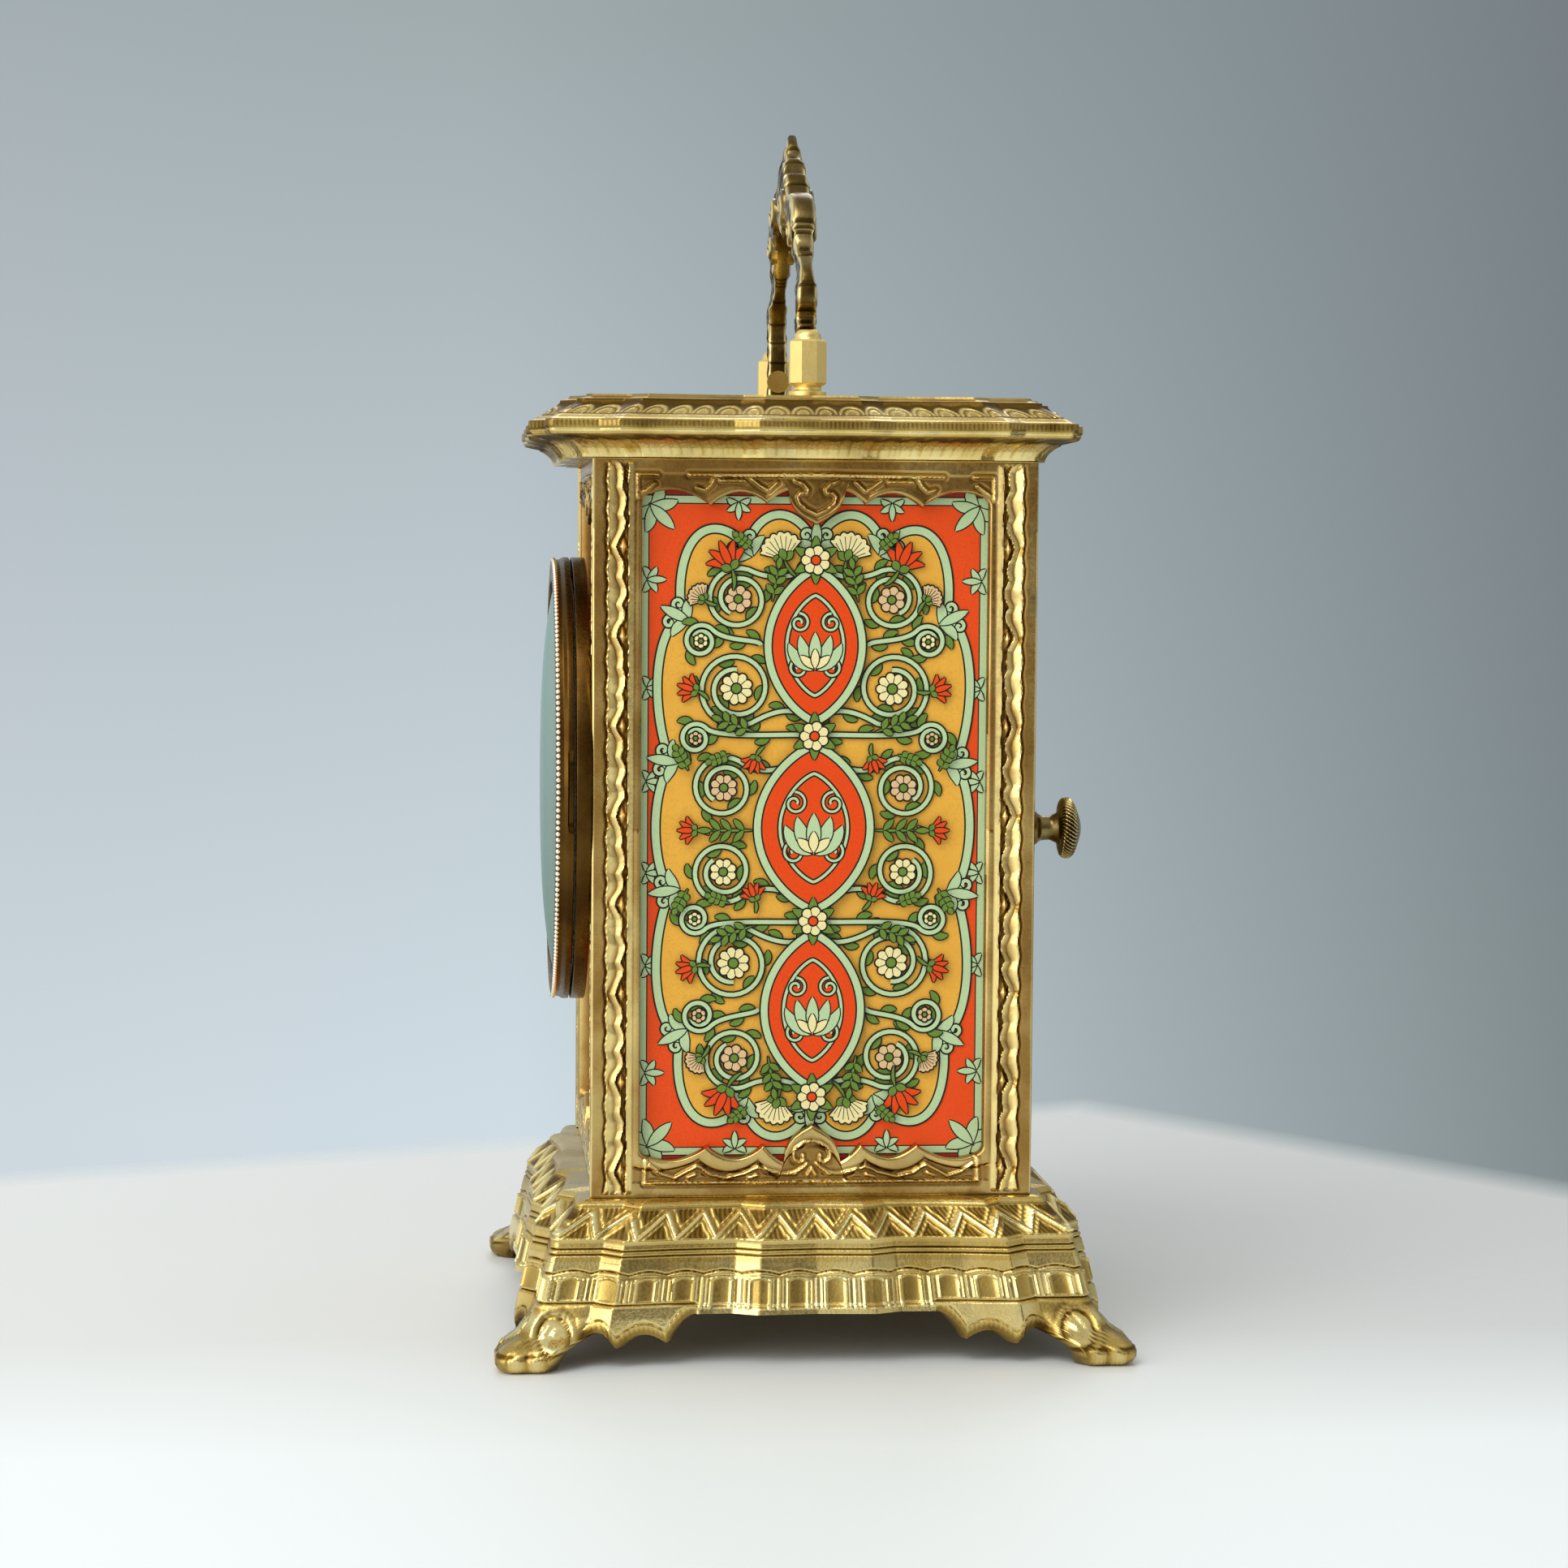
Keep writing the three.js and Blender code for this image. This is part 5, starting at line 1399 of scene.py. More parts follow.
@dataclass
class PanelPrint(Sheet):
    """The print on a panel: a lobed ochre field with stacked ogees, vines, rosettes and leaves."""

    half_size: tuple = (25.2, 48.4)  # of the mint frame
    margin: tuple = (2.0, 2.6)  # of red outside it
    field_half: tuple = (23.8, 47.0)
    lobes: int = 14
    ogees: tuple = (  # middle, half width and half height
        (27.0, 7.0, 11.2), (0.0, 8.4, 12.2), (-27.2, 7.2, 11.4)
    )
    knots: tuple = (13.6, -13.9, 39.6, -40.2)
    coils: tuple = (
        Coil((0, 13.5), 3, (11.6, 20.6), 5.6, 235, 1.6, 9, Ink.CREAM),
        Coil((0, -13.8), -3, (11.8, -20.2), 5.6, 125, -1.6, 9, Ink.CREAM),
        Coil((0, 39.6), -1, (11.4, 33.8), 4.6, 120, -1.5, 7, Ink.BLUSH),
        Coil((0, -40.2), 1, (11.6, -34.4), 4.6, 240, 1.5, 7, Ink.BLUSH),
        Coil((0, 13.5), -3, (13.4, 5.9), 4.6, 130, -1.5, 8, Ink.BLUSH),
        Coil((0, -13.8), 3, (13.4, -6.6), 4.6, 230, 1.5, 8, Ink.CREAM),
        Coil((8, 27), 1, (16.9, 27.6), 2.4, 140, -1.3, 6, Ink.CREAM),
        Coil((8, -27), -1, (16.9, -28.0), 2.4, 220, 1.3, 6, Ink.BLUSH),
        Coil((1, 13.6), 0.6, (17.6, 13.2), 2.2, 140, -1.3, 6, Ink.BLUSH),
        Coil((1, -13.9), -0.6, (17.6, -13.6), 2.2, 220, 1.3, 6, Ink.CREAM),
    )
    blooms: tuple = (  # each flower's place, heading and size
        (SHELL, 4.6, 39.6, 72, 4.2), (SHELL, 5.0, -40.4, -72, 4.0), (LILY, 12.4, 38.2, 66, 4.6),
        (LILY, 12.6, -38.8, -66, 4.6), (LILY, 17.4, 20.2, 18, 3.2), (LILY, 17.4, -20.6, -18, 3.2),
        (SHELL, 16.4, 33.6, 40, 2.6), (SHELL, 16.4, -34.2, -40, 2.6), (LILY, 8.6, 10.6, -70, 2.8),
        (LILY, 8.6, -10.8, 70, 2.8), (SPRIG, 12.4, 10.9, -20, 3.0), (SPRIG, 12.4, -11.3, 20, 3.0),
        (LILY, 17.4, -0.4, 0, 3.0), (SPRIG, 6.4, 33.4, 100, 5.0), (SPRIG, 6.6, -34.0, -100, 5.0),
        (SPRIG, 9.0, 14.2, 20, 5.0), (SPRIG, 9.0, -14.6, -20, 5.0), (SPRIG, 8.8, -0.4, 0, 6.4),
        (SPRIG, 9.4, 41.2, 40, 2.8), (SPRIG, 9.6, -41.6, -40, 2.8), (SPRIG, 18.6, 8.4, 60, 3.4),
        (SPRIG, 18.6, -9.0, -60, 3.4),
    )
    sprouts: tuple = (  # each one's place, heading and size
        (24.4, 47.6, 225, 4.6), (24.8, 36.6, 180, 2.6), (24.8, 20.6, 180, 2.4), (24.8, 6.8, 180, 2.2),
        (11.4, 48.0, 270, 2.4),
    )

    def field_edge(self) -> Array:
        """The field's edge: a rounded rectangle drawn in by cusps between its lobes.

        Returns:
            Its points, once round.
        """
        angle = circle(900)
        ring = unit(angle)
        reach = (np.abs(ring) ** 4.4).sum(1) ** (-1 / 4.4)
        wave = np.abs(np.cos(self.lobes / 2 * angle)) ** 0.6
        return ring * (reach * (0.87 + 0.115 * wave))[:, None] * self.field_half

    def ogee(self, middle: float, half_width: float, half_height: float) -> Array:
        """A pointed oval: across as a power of the sine, up as the cosine.

        Args:
            middle: its height on the sheet.
            half_width: at its widest.
            half_height: to its points.

        Returns:
            Its points, once round.
        """
        angle = circle(72)
        across = half_width * power(np.sin(angle), 1.5)
        return np.stack([across, middle + half_height * np.cos(angle)], 1)

    def border(self) -> None:
        """A red margin outside a mint frame."""
        box = np.array([[-1, -1], [1, -1], [1, 1], [-1, 1], [-1, -1]])
        edge = box * self.half_size
        self.lay(np.stack([edge + box * self.margin, edge]), Ink.RED)
        for grow, ink in ((0.68, Ink.LINE), (0.5, Ink.MINT)):
            self.lay(np.stack([edge + box * grow, edge - box * grow]), ink)

    def finials(self, edge: Array) -> None:
        """On every cusp of the field's edge two curls and three leaves that point outwards.

        Args:
            edge: the field's edge.
        """
        span = len(edge) // self.lobes
        for point in edge[np.arange(self.lobes) * len(edge) // self.lobes + span // 2]:
            angle = math.atan2(point[1] * 0.5, point[0] * 1.6)
            degrees, out = math.degrees(angle), unit(angle)
            aside = np.array([-out[1], out[0]])
            curls = [
                spiral(point + 1.5 * (out + hand * aside), 1.0, degrees + 180, hand * 1.2)
                for hand in BOTH
            ]
            self.strokes(curls, 0.25, Ink.MINT)
            self.spray(point - out * 1.1, degrees, {-34: 0.8, 34: 0.8, 0: 1.1}, 4.4, 1.4, Ink.MINT, 1)

    def growth(self) -> None:
        """Leaves that grow from the mint frame into the orange ground."""
        leaves = {-66: 0.75, 66: 0.75, -32: 0.9, 32: 0.9, 0: 1.1}
        for x, z, degrees, size in self.sprouts:
            for across in BOTH:
                for up in BOTH:
                    way = flipped(degrees, across) * up
                    self.spray((x * across, z * up), way, leaves, size, size * 0.34, Ink.MINT, 0.7)

    def medallions(self) -> None:
        """Ogees on the middle line, each with a palmette, and knots between them."""
        for middle, wide, tall in self.ogees:
            shape = self.ogee(middle, wide, tall)
            self.fill(shape, Ink.ORANGE, (0, middle))
            self.strokes([shape], 0.5, Ink.MINT, True)
            self.strokes([self.ogee(middle, wide * 0.6, tall * 0.66)], 0.2, Ink.MINT, True)
            for across in BOTH:
                place = across * wide * 0.34
                coils = [
                    spiral((place, middle + up * tall * 0.3), wide * 0.2, 90, across * up * 1.3)
                    for up in BOTH
                ]
                self.strokes(coils, 0.17, Ink.MINT)
            root, petals = (0, middle - tall * 0.32), (-75, 75, -40, 40, 0)
            self.spray(root, 90, petals, tall * 0.5, wide * 0.24, Ink.MINT, -0.4)
            self.spray((0, middle - tall * 0.3), 90, (-50, 50, 0), tall * 0.26, wide * 0.16, Ink.CREAM)
        for middle in self.knots:
            self.spray((0, middle), 30, (0, 60, 120, 180, 240, 300), 3.6, 1.3, Ink.OLIVE)
            self.rosette(np.array([0, middle]), 2.1, 7, Ink.CREAM, Ink.ORANGE)

    def vines(self) -> None:
        """The coils with leaves along them and a rosette at each eye."""
        mirrored = [(coil, coil.path(), np.array([across, 1])) for coil in self.coils for across in BOTH]
        for _, path, flip in mirrored:
            for number, index in enumerate(range(3, len(path) - 12, 5)):
                ahead = (path[index + 1] - path[index]) * flip
                degrees, swing = math.degrees(math.atan2(ahead[1], ahead[0])), 62 if number % 2 else -62
                self.leaf(path[index] * flip, degrees + swing, 2.5, 1.05, Ink.OLIVE, -swing * 0.6)
        self.strokes([path * flip for _, path, flip in mirrored], 0.3, Ink.MINT)
        for coil, _, flip in mirrored:
            self.rosette(coil.centre * flip, coil.radius * 0.42, coil.petals, coil.ink, Ink.OLIVE)

    def draw(self) -> None:
        """Draws the whole design, from the ground to the flowers."""
        self.border()
        self.growth()
        edge = self.field_edge()
        self.fill(edge, Ink.OCHRE, (0, 0))
        self.strokes([edge], 0.56, Ink.MINT, True)
        self.finials(edge)
        self.vines()
        painters = {SHELL: self.shell, LILY: self.lily, SPRIG: self.sprig}
        for flower, x, z, degrees, size in self.blooms:
            for across in BOTH:
                painters[flower](np.array([x * across, z]), flipped(degrees, across), size)
        self.medallions()

    def draw_ends(self, reach: float, gap: float) -> None:
        """Draws the two ends of a sheet whose middle is hidden by the dial.

        Args:
            reach: height of the ends' inner edge from the middle of the sheet, above and below.
            gap: how much further up the upper one starts.
        """
        self.border()
        for up, inner in ((1, reach + gap), (-1, reach)):
            middle = up * (inner + self.half_size[1]) / 2
            tall = (self.half_size[1] - inner) / 2 - 1.2
            shape = self.ogee(middle, 22.5, tall)
            self.fill(shape, Ink.OCHRE, (0, middle))
            self.strokes([shape], 0.5, Ink.MINT, True)
            for across in BOTH:
                coils = [
                    spiral((across * place, middle), min(tall * 0.55, 2.6), 180, across * turns)
                    for place, turns in ((5.6, 1.2), (11.4, -1.2))
                ]
                self.strokes(coils, 0.26, Ink.MINT)
                for place in (8.4, 15.0):
                    self.sprig(np.array([across * place, middle]), 90 - across * 90, 3.0)
            self.rosette(np.array([0, middle]), min(tall * 0.62, 3.0), 8, Ink.CREAM, Ink.ORANGE)


@dataclass
class Panels:
    """The four cast frames and their printed panels."""

    low: float = 23.2  # height of the frames' lower edge above the ground
    height: float = 109.5
    middle: float = 78.25  # height of the middle of the prints above the ground
    gap: float = 0.3  # above and below the door
    backs: tuple = (31.2, 30.6, 30.9)  # of the long sides, the front and the door
    widths: tuple = (66, 62.4, 61.8)  # of the same
    shown: float = 30.6  # from the middle of the front print to the part that the dial leaves bare
    raised: float = 9.4  # how much further that is above the middle than below it

    def pieces(self) -> list[Piece]:
        """The frames and the prints.

        Returns:
            All eight pieces.
        """
        case, door, tall = Body.CASE, Body.DOOR, (self.low, self.height)
        flank, front, back = self.backs
        wide, narrow, leaf = self.widths
        made = [
            CastFrame("right_side_frame", "right_frame", Side.RIGHT, case, wide, *tall, flank).piece(),
            CastFrame("left_side_frame", "left_frame", Side.LEFT, case, wide, *tall, flank).piece(),
            CastFrame("dial_side_frame", "front_frame", Side.FRONT, case, narrow, *tall, front).piece(),
            CastFrame(
                "door_leaf", "door_frame", Side.BACK, door, leaf, self.low + self.gap,
                self.height - 2 * self.gap, back,
                thickness=2.1, edge_round=1.0, low_rail=5.8, top_rail=5.0,
            ).piece(),
        ]
        for name, side, distance, body in (
            ("right_print", Side.RIGHT, flank, case),
            ("left_print", Side.LEFT, flank, case),
            ("door_print", Side.BACK, back, door),
            ("front_print", Side.FRONT, front, case),
        ):
            panel = PanelPrint(distance, self.middle, side)
            if side is Side.FRONT:
                panel.draw_ends(self.shown, self.raised)
            else:
                panel.draw()
            made.append(panel.piece(name, body))
        return made


# Dial side


@dataclass
class DialSide:
    """The seat ring, the hinged bezel with its beads and glass, and the dial."""

    centre: float = 83.6  # height of the hands' axis
    radius: float = 34.4  # of the bezel and its seat
    seam: float = -35.2  # y of the seat's front
    bezel_back: float = -35.5  # y of the bezel's back
    beads: int = 240
    bead: float = 0.38  # radius of a bead
    bead_ring: tuple = (33.98, -37.85)  # radius and y of the row
    hinge: tuple = (-36.2, -35.35)  # x and y of the pin
    knuckle_radius: float = 1.5
    knuckle_ends: tuple = (1.6, 1.9, 4.6)  # of the middle knuckle and of the outer ones
    leaf_thickness: float = 1.1
    notch: tuple = (4.6, 6.2)  # half the nail notch, where it is deep and where it ends
    notch_depth: float = 0.75
    numeral_size: float = 6.2
    numeral_ring: float = 23.4
    numeral_face: float = -35.82  # y of the numerals
    segments: int = 240
    dial_front: float = 35.8  # distance of the dial's face from the middle of the case
    dial_radii: tuple = (1.9, 30.3)
    track: tuple = (27.4, 28.9)  # radii that the minute marks run between
    mark_rings: tuple = ((28.9, 0.09), (27.4, 0.09), (19.3, 0.07), (12.4, 0.14), (11.7, 0.06))
    glass_rim: float = 31.9
    glass_bend: float = 3.4  # the higher, the flatter the glass is in the middle
    glass_faces: tuple = ((30.6, -37.6, 2.05), (30.4, -36.9, 1.75))  # radius, y of the rim and rise

    def ring(self, profile: list, ease: float, steps: int = 3, finer: int = 1) -> Patch:
        """A ring about the axis of the hands, with eased corners."""
        path = eased(profile, ease, steps, closed=True)
        return turned(path, self.segments * finer, (0, 0, self.centre), closed=True)

    def knuckle(self, low: float, high: float, front: float) -> list[Patch]:
        """A knuckle of the hinge between two heights, and the leaf that joins it to its ring.

        The leaf is a rounded plate whose rows run from the middle of one face over its eased edge
        and back to the middle of the other.

        Args:
            low: its lower end, from the middle of the dial.
            high: its upper end.
            front: where the leaf's front face lies.

        Returns:
            The knuckle and the leaf.
        """
        x, y = self.hinge
        reach = self.knuckle_radius
        profile = eased([(0, low), (reach, low), (reach, high), (0, high)], 0.2)
        pin = turned(profile, 32, (x, y, self.centre), upright=True)
        half, tall = (1.1 - self.radius - x) / 2, (high - low) / 2
        plate = eased(np.array([[-1, -1], [1, -1], [1, 1], [-1, 1]]) * [half, tall], 0.2, 4, closed=True)
        ease, back = 0.12, front + self.leaf_thickness
        inner = 1 - ease / np.linalg.norm(plate, axis=1).mean()
        rows = (
            (0, front), (inner, front), (1, front + ease), (1, back - ease), (inner, back), (0, back)
        )
        leaf = np.stack([np.insert(plate * share, 1, at, axis=1) for share, at in rows])
        return [pin, Patch(leaf + [x + half, 0, (low + high) / 2 + self.centre], around=True)]

    def seat(self) -> Piece:
        """The fixed ring with its spigot, and the middle knuckle of the hinge.

        Returns:
            The piece.
        """
        body = self.ring([
            (21.0, self.seam), (self.radius, self.seam), (self.radius, -33.0), (24.6, -33.0),
            (24.6, -27.4), (23.4, -27.4), (23.4, -33.0), (21.0, -33.0),
        ], 0.25)
        end = self.knuckle_ends[0]
        parts = [body, *self.knuckle(-end, end, self.seam)]
        return Piece("seat_ring", parts, [Finish.LACQUERED], Body.CASE, Slot.GILT, ("bezel_seat",))

    def bezel(self) -> Piece:
        """The hinged ring with its nail notch, and the two outer knuckles.

        Returns:
            The piece.
        """
        body = self.ring([
            (32.2, self.bezel_back), (self.radius, self.bezel_back), (self.radius, -36.4),
            (34.05, -37.0), (34.05, -37.7), (33.9, -38.0), (33.3, -38.2), (32.3, -38.05),
            (31.4, -38.2), (30.8, -38.2), (30.8, -37.6), (32.2, -37.6),
        ], 0.16, finer=2)
        x, y, z = np.moveaxis(body.points, -1, 0)
        up = z - self.centre
        notch = (1 - step(*self.notch, np.abs(up))) * (x > 0) * step(-36.4, -36.2, y)
        notch = self.notch_depth * notch * (np.hypot(x, up) > 33.5)
        body.points[..., 0] = x * (1 - notch / self.radius)
        _, near, far = self.knuckle_ends
        back = self.bezel_back - self.leaf_thickness
        parts = [body, *self.knuckle(near, far, back), *self.knuckle(-far, -near, back)]
        return Piece("bezel", parts, [Finish.LACQUERED], Body.BEZEL, Slot.GILT, ("bezel_ring",))

    def bead_row(self) -> Piece:
        """A row of pearls on the rim: one small ball carried to each place round the ring.

        Returns:
            The piece.
        """
        polar = np.linspace(0, math.pi, 7)
        ball = turned(np.stack([np.sin(polar), np.cos(polar)], 1) * self.bead, 10, (0, 0, 0)).points
        radius, y = self.bead_ring
        places = np.insert(radius * unit(circle(self.beads)) + [0, self.centre], 1, y, axis=1)
        patches = [Patch(ball + place, around=True) for place in places]
        return Piece("bezel_beads", patches, [Finish.PEARL], Body.BEZEL, Slot.GILT)

    def glass(self) -> Piece:
        """The thick glass: nearly flat in the middle and bevelled to its rim.

        Returns:
            The piece.
        """
        share = np.linspace(0, 1, 16)
        face, back = (
            np.stack([share * radius, rim - rise * (1 - share**self.glass_bend)], 1)
            for radius, rim, rise in self.glass_faces
        )
        edge = [(self.glass_rim, rim) for _, rim, _ in self.glass_faces]
        profile = np.concatenate([face, edge, back[::-1]])
        patch = turned(profile, self.segments, (0, 0, self.centre))
        return Piece("clock_glass", [patch], [Finish.GLASS], Body.BEZEL, Slot.GLASS, ("glass",))

    def face(self) -> Piece:
        """The cream dial plate.

        Returns:
            The piece.
        """
        hole, rim = self.dial_radii
        front = -self.dial_front
        plate = self.ring([(hole, self.seam), (rim, self.seam), (rim, front), (hole, front)], 0.12, 2)
        return Piece("dial_plate", [plate], [Finish.ENAMEL], Body.CASE, Slot.DIAL, ("dial",))

    def marks(self) -> Piece:
        """Minute track, rings and a ring of leaves, printed on the dial.

        Returns:
            The piece.
        """
        sheet = Sheet(self.dial_front, self.centre, Side.FRONT)
        ring = unit(circle(240))
        for radius, half in self.mark_rings:
            sheet.rule(ring * radius, half, Ink.LINE, True)
        for minute, spoke in enumerate(ring[::4]):
            mark = np.array([spoke * radius for radius in self.track])
            sheet.rule(mark, 0.08 if minute % 5 else 0.24, Ink.LINE)
        for number, spoke in enumerate(ring[::10]):
            length, ink = (4.6, Ink.RED) if number % 2 else (3.6, Ink.OCHRE)
            sheet.leaf(spoke * 6.2, 15 * number, length, 1.0, ink)
        return sheet.piece("dial_marks", Body.CASE)

    def numeral(self, hour: int) -> None:
        """One plain numeral as a flat raised form, made a mesh before it is placed.

        Args:
            hour: from 1 to 12.
        """
        name = f"numeral_{hour}"
        text = bpy.data.curves.new(name, "FONT")
        text.body, text.align_x, text.align_y = str(hour), "CENTER", "CENTER"
        text.size, text.extrude, text.resolution_u = self.numeral_size * MM, 0.02 * MM, 6
        holder = linked(name, text)
        bpy.context.view_layer.update()
        shown = holder.evaluated_get(bpy.context.evaluated_depsgraph_get())
        mesh = bpy.data.meshes.new_from_object(shown)
        bpy.data.objects.remove(holder)
        across, up = self.numeral_ring * unit(math.radians(90 - 30 * hour))
        place = Vector((across, self.numeral_face, self.centre + up)) * MM
        mesh.transform(Matrix.Translation(place) @ Matrix.Rotation(math.pi / 2, 4, "X"))
        Piece(name, [], [Ink.LINE], Body.CASE, Slot.DIAL).place(mesh)

    def pieces(self) -> list[Piece]:
        """All pieces of the dial side, apart from the numerals, which are placed at once.

        Returns:
            The pieces.
        """
        for hour in range(1, 13):
            self.numeral(hour)
        return [self.seat(), self.bezel(), self.bead_row(), self.glass(), self.face(), self.marks()]


# Handle, pillars and knob


@dataclass
class Handle:
    """The folding bail: lobed arms that rise to a crest, with volutes on both faces."""

    pivot: float = 146.6  # height of its axis
    span: float = 24.6  # from the middle to an arm
    rise: float = 37.1  # from the axis to the crest
    outer_shares: tuple = (
        (1, -0.056), (1, 0.12), (1.06, 0.16), (1.02, 0.2), (1.09, 0.27), (1.07, 0.36), (0.97, 0.44),
        (0.86, 0.49), (0.82, 0.54), (0.84, 0.6), (0.76, 0.68), (0.62, 0.72), (0.46, 0.72),
        (0.38, 0.76), (0.3, 0.82), (0.2, 0.82), (0.19, 0.88), (0.11, 0.91), (0.07, 0.96), (0, 1),
    )
    inner_shares: tuple = (
        (0.895, -0.056), (0.895, 0.12), (0.93, 0.2), (0.88, 0.3), (0.74, 0.38), (0.66, 0.45),
        (0.56, 0.55), (0.42, 0.61), (0.22, 0.63), (0.08, 0.6), (0, 0.56),
    )
    depths: tuple = (  # height above the pivot, and the bail's depth there
        (-2.1, 3.3), (12.1, 3.3), (12.3, 3.0), (13.4, 2.4), (14.6, 2.2), (15.8, 2.4), (16.8, 3.0),
        (17.0, 3.35), (20.3, 3.35), (20.5, 4.0), (21.1, 4.0), (21.3, 3.6), (21.8, 3.9), (22.2, 4.3),
        (28.7, 4.3), (28.9, 3.9), (32.5, 3.9), (32.7, 3.0), (34.8, 2.9), (35.0, 2.3), (37.1, 2.1),
    )
    nicks: tuple = (  # heights above the pivot
        5.0, 8.4, 12.2, 16.9, 20.4, 21.2, 22.1, 28.8, 32.6, 34.9
    )
    volutes: tuple = ((0.3, 0.68, 3.0, 5.1), (0.66, 0.56, 2.5, 4.1))  # shares, radius and depth

    def bail(self) -> Patch:
        """The bail as a closed section carried along it, from eye to eye.

        The section is a box with rounded edges between the inner and the outer edge. Its depth
        follows the height in steps, and a nick across the outer face marks each step. Both broad
        faces have cross ridges and a groove.

        Returns:
            The patch.
        """
        scale, count = [self.span, self.rise], 250
        edges = (self.outer_shares, self.inner_shares)
        outer, inner = (smooth_path(np.array(edge) * scale, count) for edge in edges)
        nick = bump(outer[:, 1:] - np.array(self.nicks), 0.2).sum(1)[:, None]
        outward = (outer - inner) / np.linalg.norm(outer - inner, axis=1, keepdims=True)
        outer = outer - 0.3 * nick * outward
        outer, inner = (np.concatenate([edge, (edge * [-1, 1])[-2::-1]]) for edge in (outer, inner))
        across, deep = power(unit(circle(48)), 0.46).T * [[-1], [1]]
        across, deep = across[None, :], deep[None, :]
        middle, reach = (outer + inner) / 2, (outer - inner) / 2
        flat = middle[:, None] + across[..., None] * reach[:, None]
        depth = np.interp(flat[..., 1], *np.array(self.depths).T) / 2
        along = np.arange(len(middle))[:, None]
        groove = 0.3 * bump(np.abs(across) - 0.45, 0.14)
        relief = np.abs(deep) * (1 - across**2) * (0.12 * np.cos(TURN * along / 16) - groove)
        points = np.stack([flat[..., 0], deep * (depth + relief - 0.1), flat[..., 1]], -1)
        # The section's rounded edges drawn brighter, partly as rubbing and partly as a painted
        # highlight.
        rubbed_and_lit = 0.38 * bump(np.abs(across) - np.abs(deep), 0.22)
        tone = 0.46 + rubbed_and_lit + relief / 0.7 - 0.3 * np.concatenate([nick, nick[-2::-1]])
        rows = [0, *range(len(points)), -1]
        points, tone = points[rows], tone[rows]
        points[[0, -1]] = points[[0, -1]].mean(1, keepdims=True)
        return Patch(points + [0, LID_Y, self.pivot], around=True, tone=tone)

    def volute(self, across: float, up: float, radius: float, depth: float, face: int) -> Patch:
        """A dome with a spiral ridge, on the front or the back face.

        Args:
            across: its place, as a share of the span.
            up: its height, as a share of the rise.
            radius: of the dome.
            depth: of the bail behind it.
            face: -1 for the front and 1 for the back.

        Returns:
            The patch.
        """
        distance, angle = np.linspace(0, 1, 14)[:, None], circle(40)[None, :]
        ridge = 0.28 * np.cos(TURN * 1.6 * distance - face * np.sign(across) * angle)
        ridge = ridge * (1 - distance**4) * step(0.05, 0.25, distance)
        y = face * (depth / 2 - 0.35 + 0.35 * dome(distance) + ridge)
        y = np.where(distance >= 1, face * (depth / 2 - 1.2), y)
        flat = radius * distance[..., None] * unit(angle) + [across * self.span, up * self.rise]
        points = np.dstack([flat[..., 0], y, flat[..., 1]]) + [0, LID_Y, self.pivot]
        floor = np.broadcast_to(points[-1].mean(0), points[-1].shape)[None]
        tone = np.concatenate([0.55 + ridge / 0.7, np.full((1, angle.size), 0.4)])
        return Patch(np.concatenate([points, floor]), around=True, tone=tone)

    def pieces(self) -> list[Piece]:
        """The handle as one casting.

        Returns:
            The one piece.
        """
        volutes = [
            self.volute(side * x, z, radius, depth, face)
            for x, z, radius, depth in self.volutes
            for side in BOTH
            for face in BOTH
        ]
        parts = [self.bail(), *volutes]
        return [Piece("bail_handle", parts, [Finish.AGED], Body.HANDLE, Slot.GILT, ("handle",))]


